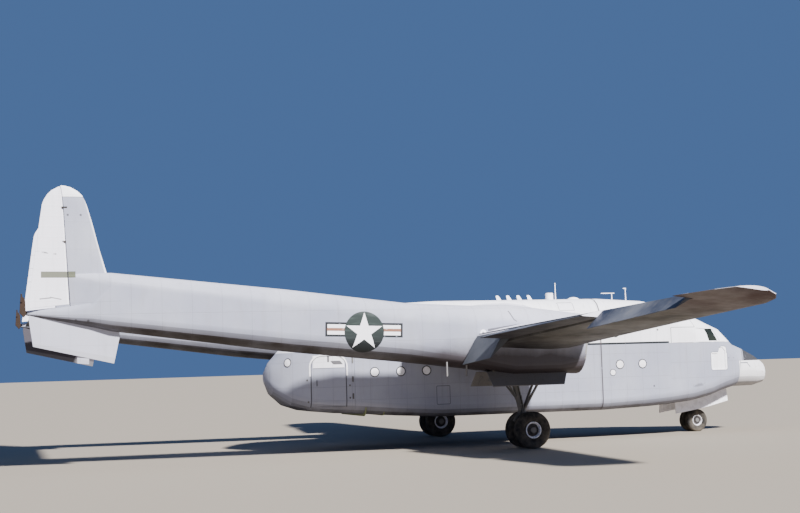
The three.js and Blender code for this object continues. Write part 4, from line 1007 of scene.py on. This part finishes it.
# Their turned shapes: share of the radius, and how far out from the skin
PORTHOLE_RIM = [
    (0.86, -0.01), (0.86, 0.006), (0.92, 0.014), (1, 0.014), (1.06, 0.006), (1.08, -0.01), (0.86, -0.01),
]
PORTHOLE_PANE = [(0.0, 0.012), (0.5, 0.0105), (0.87, 0.006), (0.87, -0.012), (0.0, -0.012)]


def make_portholes(rows, node, body, sign, rims_name, panes_name):
    """Round windows on one side of a node: their rims as one piece, their coated panes as another."""
    rims, panes = bmesh.new(), bmesh.new()
    for x, z, share in rows:
        radius = sizes().porthole * share
        point, normal = on_side(node, x, z, sign)
        for bm, profile in ((rims, PORTHOLE_RIM), (panes, PORTHOLE_PANE)):
            add_spin(bm, [(radius * r, t) for r, t in profile], point, normal, steps=32)
    place(rims, rims_name, body, "seal", "pale_paint", 40)
    place(panes, panes_name, body, "coat", "glazing", 40)


class PLANE_OT_portholes(bpy.types.Operator):
    """Round windows with dark rims, coated white"""

    bl_idname = "plane.portholes"
    bl_label = "Portholes"

    def execute(self, context):
        for side, sign in SIDES.items():
            rows = [row for row in PORTHOLES if side == "right" or row[0] < CREW_DOOR_FROM]
            names = (f"porthole_rims_{side}", f"porthole_panes_{side}")
            make_portholes(rows, "cargo_fuselage", "airframe", sign, *names)
            names = (f"clamshell_porthole_rim_{side}", f"clamshell_porthole_pane_{side}")
            make_portholes(CLAMSHELL_PORTHOLES, f"clamshell_{side}", f"clamshell_{side}", sign, *names)
        return {"FINISHED"}


def add_blade(bm, foot, height, chord, thick, lean):
    """A small swept fin of an aerial."""
    rings = []
    for share, width in ((0.0, 1.0), (0.55, 0.8), (0.9, 0.6), (1.0, 0.4)):
        x, z = foot.x - lean * share, foot.z + height * share
        half = chord * width / 2
        ring = [(x + half, 0), (x + half * 0.4, thick), (x - half, 0), (x + half * 0.4, -thick)]
        rings.append([Vector((u, foot.y + v, z)) for u, v in ring])
    add_loft(bm, rings)


# Roof fittings: where the blades and the two domes stand, and each mast's x, top and the reach of its arm
ROOF_BLADES = (2.85, 3.24, 3.63, 4.02)
DRUM_X, DOME_X = 4.71, 5.63
DRUM_PROFILE = [(0.0, 0.29), (0.12, 0.285), (0.14, 0.26), (0.14, -0.03), (0.0, -0.03)]
ROOF_MASTS = ((4.95, 5.44, 0.0), (7.7, 5.23, 0.09), (7.15, 5.06, 0.42))


class PLANE_OT_aerials(bpy.types.Operator):
    """Roof aerials, domes and masts"""

    bl_idname = "plane.aerials"
    bl_label = "Roof aerials"

    def execute(self, context):
        bm = bmesh.new()
        for x in ROOF_BLADES:
            foot, _ = on_top("cargo_fuselage", x, 0.0)
            add_blade(bm, foot - Z_AXIS * 0.04, 0.26, 0.2, 0.016, 0.12)
        add_spin(bm, DRUM_PROFILE, on_top("cargo_fuselage", DRUM_X, 0.0)[0], Z_AXIS, 28)
        add_ball(bm, on_top("cargo_fuselage", DOME_X, 0.0)[0], (0.24, 0.2, 0.13))
        place(bm, "roof_domes", "airframe", "coat", "white_paint", 40, 0.004)
        bm = bmesh.new()
        for x, top, arm in ROOF_MASTS:
            foot = on_top("cargo_fuselage", x, 0.0)[0]
            add_rod(bm, foot - Z_AXIS * 0.03, Vector((x, 0, top)), 0.022, 0.014)
            add_rod(bm, foot - Z_AXIS * 0.02, foot + Z_AXIS * 0.03, 0.06, 0.04)
            if arm:
                add_rod(bm, (x - arm, 0, top - 0.01), (x + arm * 0.25, 0, top - 0.01), 0.014, steps=10)
        place(bm, "roof_masts", "airframe", "coat", "white_paint", 40)
        return {"FINISHED"}


# Brake pipes down a main leg: radius, then x, distance from the middle and z of each bend
BRAKE_PIPES = [
    (0.009, [(1.38, 0.12, 2.6), (1.5, 0.125, 2.1), (1.66, 0.13, 1.3), (1.58, 0.14, 1.0), (1.76, 0.14, 0.72)]),
    (0.006, [(1.45, 0.09, 2.3), (1.62, 0.115, 1.62), (1.7, 0.12, 1.2), (1.66, 0.1, 0.95)]),
]


class PLANE_OT_main_gear(bpy.types.Operator):
    """Oleo sleeves, torque links, brakes, pipes, and ribs and rods of the doors of the main gear"""

    bl_idname = "plane.main_gear"
    bl_label = "Main gear fittings"

    def execute(self, context):
        for side, sign in SIDES.items():
            y = sign * BOOM_Y
            bm = bmesh.new()
            add_rod(bm, (1.705, y, 1.08), (1.79, y, 0.8), 0.083, steps=28)
            place(bm, f"main_oleo_{side}", "airframe", "chrome", "gear_steel")
            bm = bmesh.new()
            add_rods(bm, (
                ((1.688, y, 1.155), (1.716, y, 1.05), 0.125), ((1.44, y, 2.31), (1.47, y, 2.2), 0.122),
                ((1.58, y, 1.62), (1.6, y, 1.54), 0.118), ((1.78, y, 0.83), (1.795, y, 0.78), 0.1),
            ), steps=28)
            x, z = MAIN_WHEEL["x"], MAIN_WHEEL["radius"]
            for across in (-1, 1):
                add_bar(bm, (1.6, y + across * 0.075, 1.12), (1.42, y + across * 0.02, 0.87), 0.03, 0.05)
                add_bar(bm, (1.42, y + across * 0.02, 0.87), (1.73, y + across * 0.07, 0.63), 0.03, 0.05)
                add_rod(bm, (x, y + across * 0.15, z), (x, y + across * 0.17, z), 0.185, steps=32)
                add_rod(bm, (2.44, y + across * 0.33, 2.5), (2.5, y + across * 0.33, 2.62), 0.06, steps=20)
            for x, z, reach in ((1.6, 1.12, 0.11), (1.42, 0.87, 0.06), (1.73, 0.63, 0.1)):
                add_rod(bm, (x, y - reach, z), (x, y + reach, z), 0.026, steps=16)
            for across in (-1, 1):
                add_rod(bm, (1.62, y + across * 0.1, 1.35), (1.62, y + across * 0.16, 1.35), 0.03, steps=14)
            place(bm, f"main_links_{side}", "airframe", "enamel", "gear_steel", 40, 0.003)
            bm = bmesh.new()
            for across in (-1, 1):
                for radius, route in BRAKE_PIPES:
                    add_tube(bm, [(x, y + across * out, z) for x, out, z in route], radius)
            place(bm, f"brake_pipes_{side}", "airframe", "dark", "gear_steel", 40)
            bm = bmesh.new()
            level, drop = math.sin(GEAR_DOOR_ANGLE), math.cos(GEAR_DOOR_ANGLE)
            for way in (-1, 1):
                down = Vector((0, level * way, -drop))
                inward = Vector((0, -way * drop, -level))
                root = Vector((0, y + way * 0.545, 2.31))
                for x in (0.62, 1.3, 1.98, 2.5):
                    start = root + X_AXIS * x + down * 0.05 + inward * 0.012
                    add_bar(bm, start, start + down * 0.46, 0.024, 0.05)
                for x in (0.95, 2.3):
                    tip = root + X_AXIS * x + down * 0.3 + inward * 0.01
                    add_rod(bm, tip, (x, y + way * 0.3, 2.56), 0.017, steps=12)
                    add_rod(bm, tip - X_AXIS * 0.05, tip + X_AXIS * 0.05, 0.022, steps=12)
            # The door ribs share the doors' painted shade
            place(bm, f"gear_door_ribs_{side}", "airframe", "shade_sheet", "white_paint", 40, 0.002)
        return {"FINISHED"}


# The taxi lamp's turned shape; the nose doors' arms and ribs, each an x and two heights
LAMP_PROFILE = [
    (0.0, -0.05), (0.06, -0.045), (0.085, 0.0), (0.09, 0.03), (0.08, 0.03), (0.06, 0.012), (0.0, 0.0),
]
NOSE_DOOR_ARMS = ((9.45, 0.95, 1.42), (10.7, 1.15, 1.62))
NOSE_DOOR_RIBS = ((9.35, 0.78, 1.46), (9.95, 0.87, 1.55), (10.55, 0.98, 1.7), (11.1, 1.08, 1.8))


class PLANE_OT_nose_gear(bpy.types.Operator):
    """Links, steering jacks, lamp and door arms of the nose gear"""

    bl_idname = "plane.nose_gear"
    bl_label = "Nose gear fittings"

    def execute(self, context):
        bm = bmesh.new()
        for across in (-1, 1):
            add_bar(bm, (10.29, across * 0.05, 0.85), (10.42, across * 0.02, 0.68), 0.022, 0.036)
            add_bar(bm, (10.42, across * 0.02, 0.68), (10.26, across * 0.045, 0.47), 0.022, 0.036)
        for x, z, reach in ((10.29, 0.85, 0.07), (10.42, 0.68, 0.045), (10.26, 0.47, 0.06)):
            add_rod(bm, (x, -reach, z), (x, reach, z), 0.018, steps=14)
        place(bm, "nose_links", "nose_fork", "enamel", "gear_steel", 40, 0.002)
        bm = bmesh.new()
        add_rod(bm, (10.2, 0, 0.815), (10.2, 0, 0.62), 0.066, steps=28)
        place(bm, "nose_oleo", "nose_fork", "chrome", "gear_steel")
        bm = bmesh.new()
        add_rod(bm, (10.2, 0, 0.93), (10.2, 0, 1.0), 0.105, steps=28)
        add_rod(bm, (10.2, 0, 1.5), (10.2, 0, 1.56), 0.1, steps=28)
        for across in (-1, 1):
            add_rod(bm, (10.1, across * 0.12, 0.97), (9.84, across * 0.13, 1.0), 0.03, steps=16)
            add_rod(bm, (10.2, across * 0.06, 0.97), (10.1, across * 0.12, 0.97), 0.016, steps=12)
            route = ((10.27, 0.05, 1.7), (10.3, 0.07, 1.3), (10.29, 0.06, 0.95))
            add_tube(bm, [(x, across * out, z) for x, out, z in route], 0.007)
        place(bm, "nose_leg_fittings", "airframe", "enamel", "gear_steel", 40, 0.002)
        bm = bmesh.new()
        add_spin(bm, LAMP_PROFILE, (10.33, 0, 1.2), X_AXIS, 28)
        place(bm, "taxi_lamp", "airframe", "chrome", "gear_steel", 40)
        bm = bmesh.new()
        for sign in (-1, 1):
            for x, low, high in NOSE_DOOR_ARMS:
                add_rod(bm, (x, sign * 0.56, low), (x + 0.02, sign * 0.4, high + 0.2), 0.014, steps=12)
            for x, low, high in NOSE_DOOR_RIBS:
                add_bar(bm, (x, sign * 0.578, low), (x, sign * 0.487, high), 0.02, 0.035)
        place(bm, "nose_door_ribs", "airframe", "coat", "white_paint", 40, 0.002)
        return {"FINISHED"}


# Pipes ahead of each firewall: radius, then distance ahead of it, distance from the middle and z of each bend
FIREWALL_PIPES = [
    (0.035, [(0, -0.3, 3.25), (0.12, -0.3, 3.22), (0.16, -0.33, 3.0)]),
    (0.028, [(0, 0.1, 3.3), (0.14, 0.12, 3.28), (0.18, 0.1, 3.05), (0.26, 0.08, 2.95)]),
    (0.022, [(0, 0.3, 3.2), (0.1, 0.3, 3.16), (0.2, 0.34, 2.95), (0.24, 0.36, 2.7)]),
    (0.018, [(0, -0.1, 2.9), (0.1, -0.1, 2.86), (0.22, -0.14, 2.7), (0.3, -0.2, 2.62)]),
    (0.016, [(0, 0.02, 3.62), (0.16, 0.02, 3.6), (0.22, 0.0, 3.38)]),
    (0.03, [(0, 0.52, 3.28), (0.1, 0.55, 3.24), (0.12, 0.58, 2.98)]),
    (0.014, [(0, -0.52, 3.35), (0.2, -0.5, 3.3), (0.26, -0.46, 3.02), (0.22, -0.4, 2.72)]),
]


class PLANE_OT_nacelles(bpy.types.Operator):
    """Rims, pipes and boxes at the open fronts, and masts below the booms"""

    bl_idname = "plane.nacelles"
    bl_label = "Nacelle fronts"

    def execute(self, context):
        for side, sign in SIDES.items():
            y = sign * BOOM_Y
            bm = bmesh.new()
            rings = []
            for back, inset in ((0.055, -0.003), (-0.002, -0.003), (-0.002, 0.05), (0.055, 0.05)):
                ring = rounded(NACELLE_X, y, NACELLE_FRONT, inset)
                for point in ring:
                    lean = (point.z - NACELLE_LIP["low"]) * NACELLE_LIP["lean"]
                    point.x = min(NACELLE_X, NACELLE_LIP["foot"] + lean) - back
                rings.append(ring)
            add_hoop(bm, rings)
            bands = ((3.43, 0.03), (3.46, 0.03), (3.46, 0.09), (3.43, 0.09))
            add_hoop(bm, [rounded(x, y, FIREWALL_BAND, inset) for x, inset in bands])
            place(bm, f"nacelle_rim_{side}", "airframe", "bare", "firewall_sheet", 40, 0.003)
            bm = bmesh.new()
            for out, z in ((-0.43, 2.85), (0.43, 2.85), (-0.43, 3.68), (0.43, 3.68)):
                add_rod(bm, (FIREWALL_X, y + out, z), (3.43, y + out, z), 0.11, steps=28)
                add_rod(bm, (3.56, y + out, z), (3.6, y + out, z), 0.03, steps=16)
                for turn in range(6):
                    angle = math.radians(60 * turn)
                    bolt = Vector((3.43, y + out + 0.085 * math.cos(angle), z + 0.085 * math.sin(angle)))
                    add_rod(bm, bolt, bolt + X_AXIS * 0.012, 0.011, steps=6)
            for out in (-0.62, -0.2, 0.2, 0.62):
                add_bar(bm, (3.408, y + out, 2.62), (3.408, y + out, 3.86), 0.03, 0.02)
            for z in (3.1, 3.45):
                add_bar(bm, (3.408, y - 0.66, z), (3.408, y + 0.66, z), 0.02, 0.03)
            place(bm, f"firewall_ribs_{side}", "airframe", "bare", "firewall_sheet", 40, 0.003)
            bm = bmesh.new()
            for radius, route in FIREWALL_PIPES:
                add_tube(bm, [(FIREWALL_X + x, y + out, z) for x, out, z in route], radius, steps=12)
            add_block(bm, (FIREWALL_X, y - 0.14, 3.14), (3.52, y + 0.06, 3.4))
            add_block(bm, (FIREWALL_X, y + 0.22, 2.56), (3.5, y + 0.5, 2.74))
            add_rod(bm, (FIREWALL_X, y - 0.02, 3.78), (3.5, y - 0.02, 3.78), 0.1, steps=24)
            place(bm, f"firewall_pipes_{side}", "airframe", "dark", "firewall_sheet", 40, 0.002)
            bm = bmesh.new()
            for x, low, high in ((-0.92, 2.31, 2.7), (-0.29, 2.29, 2.66)):
                add_rod(bm, (x, y + sign * 0.52, low), (x, y + sign * 0.52, high + 0.1), 0.028, steps=14)
            # The drain masts are drawn dark as painted shade
            place(bm, f"drain_masts_{side}", "airframe", "shade_sheet", "white_paint", 40)
        return {"FINISHED"}


def door_path(x0, x1, foot, top, corner):
    """Points round an arched door, from foot to foot, with their outward directions."""
    knees = (foot, (foot + top - corner) / 2)
    path = [(x0, z, -1, 0) for z in knees]
    for centre, start in ((x0 + corner, 180), (x1 - corner, 90)):
        for step in range(9):
            angle = math.radians(start - 90 * step / 8)
            out = (math.cos(angle), math.sin(angle))
            path.append((centre + corner * out[0], top - corner + corner * out[1], *out))
    return path + [(x1, z, 1, 0) for z in reversed(knees)]


class PLANE_OT_doors(bpy.types.Operator):
    """Door frames, handles, latches and hinges, and the crew door's window"""

    bl_idname = "plane.doors"
    bl_label = "Door fittings"

    def execute(self, context):
        for side, sign in SIDES.items():
            node = f"clamshell_{side}"
            bm = bmesh.new()
            add_strap(bm, node, door_path(-4.33, -3.24, 2.42, 3.05, 0.33), sign, 0.015, 0.06, 0.012)
            place(bm, f"paratroop_frame_{side}", node, "coat", "white_paint", 40)
            bm = bmesh.new()
            for x, z in ((-3.12, 1.7), (-3.12, 2.1), (-4.45, 2.3), (-4.42, 1.6)):
                point, normal = on_side(node, x, z, sign)
                add_rod(bm, point - normal * 0.01, point + normal * 0.012, 0.03, steps=14)
            for z in (1.75, 2.3, 2.9):
                point, normal = on_side(node, -3.02, z, sign)
                add_bar(bm, point + Z_AXIS * 0.09, point - Z_AXIS * 0.09, 0.05, 0.024)
            place(bm, f"clamshell_latches_{side}", node, "enamel", "gear_steel", 40, 0.002)
            bm = bmesh.new()
            door = f"paratroop_door_{side}"
            point, normal = on_side(door, -4.16, 2.2, sign)
            add_handle(bm, point, normal, Z_AXIS, 0.1, 0.08, 0.035)
            place(bm, f"paratroop_handle_{side}", door, "dark", "gear_steel", 40)
        bm = bmesh.new()
        point, normal = on_side("crew_door", 7.74, 2.05, 1)
        add_handle(bm, point, normal, X_AXIS, 0.08, 0.06, 0.032)
        place(bm, "crew_door_handle", "crew_door", "dark", "gear_steel", 40)
        bm = bmesh.new()
        add_strap(bm, "cargo_fuselage", door_path(7.62, 8.31, 1.5, 3.0, 0.12), 1, 0.02, 0.06, 0.006)
        place(bm, "crew_door_frame", "airframe", "seal", "pale_paint", 40)
        make_portholes(CREW_PORTHOLES, "crew_door", "crew_door", 1, "crew_porthole_rim", "crew_porthole_pane")
        return {"FINISHED"}


# Outline of the bracket at each boom's end, heights of the rudder's lugs, places of the wicks along an edge
END_BRACKET = [
    (-13.36, 4.47), (-13.33, 4.92), (-13.25, 4.9), (-13.2, 4.8), (-13.19, 4.52), (-13.14, 4.47), (-13.24, 4.33),
]
LUG_HEIGHTS = (6.47, 7.45)
RUDDER_WICKS = (0.3, 0.45, 0.6)
AILERON_WICKS = (0.35, 0.6, 0.85)


class PLANE_OT_tail(bpy.types.Operator):
    """Rusty end brackets, hinge lugs, static wicks and the domes on the wing tips"""

    bl_idname = "plane.tail"
    bl_label = "Tail fittings"

    def execute(self, context):
        for side, sign in SIDES.items():
            y = sign * BOOM_Y
            bm = bmesh.new()
            add_loft(bm, [[Vector((x, y + out, z)) for x, z in END_BRACKET] for out in (-0.07, 0.07)])
            add_rod(bm, (-13.31, y - 0.1, 4.78), (-13.31, y + 0.1, 4.78), 0.03, steps=14)
            add_rod(bm, (-13.3, y, 4.9), (-13.31, y, 5.0), 0.022, steps=10)
            place(bm, f"boom_end_bracket_{side}", "airframe", "rust", "gear_steel", 40, 0.006)
            bm = bmesh.new()
            for z in LUG_HEIGHTS:
                x = -12.09 - 0.0449 * (z - 4.7)
                add_block(bm, (x + 0.02, y - 0.098, z - 0.02), (x + 0.17, y + 0.098, z + 0.02))
            place(bm, f"rudder_lugs_{side}", "airframe", "dark", "gear_steel", 40, 0.002)
            bm = bmesh.new()
            add_wicks(bm, f"rudder_{side}", RUDDER_WICKS)
            place(bm, f"rudder_wicks_{side}", f"rudder_{side}", "dark", "gear_steel", 40)
            bm = bmesh.new()
            outward = [share if sign > 0 else 1 - share for share in AILERON_WICKS]
            add_wicks(bm, f"aileron_{side}", outward)
            place(bm, f"aileron_wicks_{side}", f"aileron_{side}", "dark", "gear_steel", 40)
            bm = bmesh.new()
            add_ball(bm, on_top(f"outer_wing_{side}", 2.7, sign * 15.9)[0], (0.16, 0.1, 0.09))
            place(bm, f"wing_tip_dome_{side}", "airframe", "coat", "glazing", 40)
        return {"FINISHED"}


# Inside of the hold: stations of the hoops, and the shell's sizes there
HOLD = {
    "first": -2.6, "last": 8.2, "count": 18, "half": 1.75, "low": 0.99, "high": 4.7, "top": 0.7, "bottom": 0.4,
}


class PLANE_OT_hold(bpy.types.Operator):
    """Hoops and stringers inside the hold, and rails along its floor"""

    bl_idname = "plane.hold"
    bl_label = "Hold"

    def execute(self, context):
        bm = bmesh.new()
        for step in range(HOLD["count"]):
            x = HOLD["first"] + (HOLD["last"] - HOLD["first"]) * step / (HOLD["count"] - 1)
            edges = ((-0.02, 0.09), (0.02, 0.09), (0.02, 0.2), (-0.02, 0.2))
            add_hoop(bm, [rounded(x + dx, 0, HOLD, inset) for dx, inset in edges])
        place(bm, "hold_hoops", "airframe", "primer", "cargo_deck", 40)
        bm = bmesh.new()
        for sign in (-1, 1):
            for out, z in ((1.585, 2.0), (1.585, 2.6), (1.585, 3.2), (1.2, 4.45), (0.5, 4.56)):
                add_bar(bm, (-2.7, sign * out, z), (8.3, sign * out, z), 0.03, 0.03)
            add_bar(bm, (-2.6, sign * 0.62, 1.308), (8.2, sign * 0.62, 1.308), 0.012, 0.05)
            for x in range(-2, 9):
                add_rod(bm, (x, sign * 1.1, 1.302), (x, sign * 1.1, 1.312), 0.05, steps=16)
        place(bm, "hold_stringers", "airframe", "primer", "cargo_deck", 40)
        return {"FINISHED"}


FLOOR_HALF = 900
BACKDROP_STRENGTH = 0.72
# Each sun's strength, its size in degrees and the way that its light goes
SUNS = [("key", 12.0, 4, (-0.3, 1.0, -0.9)), ("fill", 0.12, 60, (0.7, 0.6, -0.3))]
# The camera of the photograph: its place, its angles in degrees, its lens and sensor in mm
CAMERA = {
    "place": (-13.943, -42.142, 2.63), "yaw": 17.351, "pitch": 4.889, "roll": -1.738,
    "lens": 58.22, "sensor": 36, "reach": 3000,
}


class PLANE_OT_stage(bpy.types.Operator):
    """Plain floor, backdrop light and the camera of the photograph"""

    bl_idname = "plane.stage"
    bl_label = "Stage"

    def execute(self, context):
        bm = bmesh.new()
        bmesh.ops.create_grid(bm, x_segments=1, y_segments=1, size=FLOOR_HALF)
        mesh_object("floor", bm, plain_paint("floor_paint", colours().floor, 0.8, amount=0.0))
        world = bpy.data.worlds.new("studio")
        bpy.context.scene.world = world
        world.use_nodes = True
        backdrop = world.node_tree.nodes["Background"]
        backdrop.inputs["Color"].default_value = (*colours().sky, 1)
        backdrop.inputs["Strength"].default_value = BACKDROP_STRENGTH
        for name, energy, angle, way in SUNS:
            light = bpy.data.lights.new(name, "SUN")
            light.energy, light.angle = energy, math.radians(angle)
            add_object(name, light).rotation_euler = Vector(way).to_track_quat("-Z", "Y").to_euler()
        yaw, pitch, roll = (math.radians(CAMERA[key]) for key in ("yaw", "pitch", "roll"))
        forward = Vector((math.sin(yaw) * math.cos(pitch), math.cos(yaw) * math.cos(pitch), math.sin(pitch)))
        level = Vector((math.cos(yaw), -math.sin(yaw), 0))
        rise = level.cross(forward)
        right = level * math.cos(roll) + rise * math.sin(roll)
        up = -level * math.sin(roll) + rise * math.cos(roll)
        camera = add_object("camera", bpy.data.cameras.new("camera"))
        camera.data.sensor_width = CAMERA["sensor"]
        camera.data.lens = CAMERA["lens"]
        camera.data.clip_end = CAMERA["reach"]
        turn = Matrix((right, up, -forward)).transposed().to_4x4()
        camera.matrix_world = Matrix.Translation(CAMERA["place"]) @ turn
        bpy.context.scene.camera = camera
        return {"FINISHED"}


OPERATORS = [
    PLANE_OT_stage, PLANE_OT_skins, PLANE_OT_wheels, PLANE_OT_portholes, PLANE_OT_aerials, PLANE_OT_main_gear,
    PLANE_OT_nose_gear, PLANE_OT_nacelles, PLANE_OT_doors, PLANE_OT_tail, PLANE_OT_hold,
]


class PLANE_PT_panel(bpy.types.Panel):
    """Lists the plane's makers"""

    bl_idname = "PLANE_PT_panel"
    bl_label = "Transport plane"
    bl_space_type = "VIEW_3D"
    bl_region_type = "UI"
    bl_category = "Plane"

    def draw(self, context):
        for operator in OPERATORS:
            self.layout.operator(operator.bl_idname)


CLASSES = [PlaneColours, PlaneSizes, *OPERATORS, PLANE_PT_panel]


def register():
    for entry in CLASSES:
        bpy.utils.register_class(entry)
    bpy.types.Scene.plane_colours = bpy.props.PointerProperty(type=PlaneColours)
    bpy.types.Scene.plane_sizes = bpy.props.PointerProperty(type=PlaneSizes)


def unregister():
    del bpy.types.Scene.plane_sizes
    del bpy.types.Scene.plane_colours
    for entry in reversed(CLASSES):
        bpy.utils.unregister_class(entry)


def main():
    register()
    for operator in OPERATORS:
        group, name = operator.bl_idname.split(".")
        getattr(getattr(bpy.ops, group), name)()


if __name__ == "__main__":
    main()
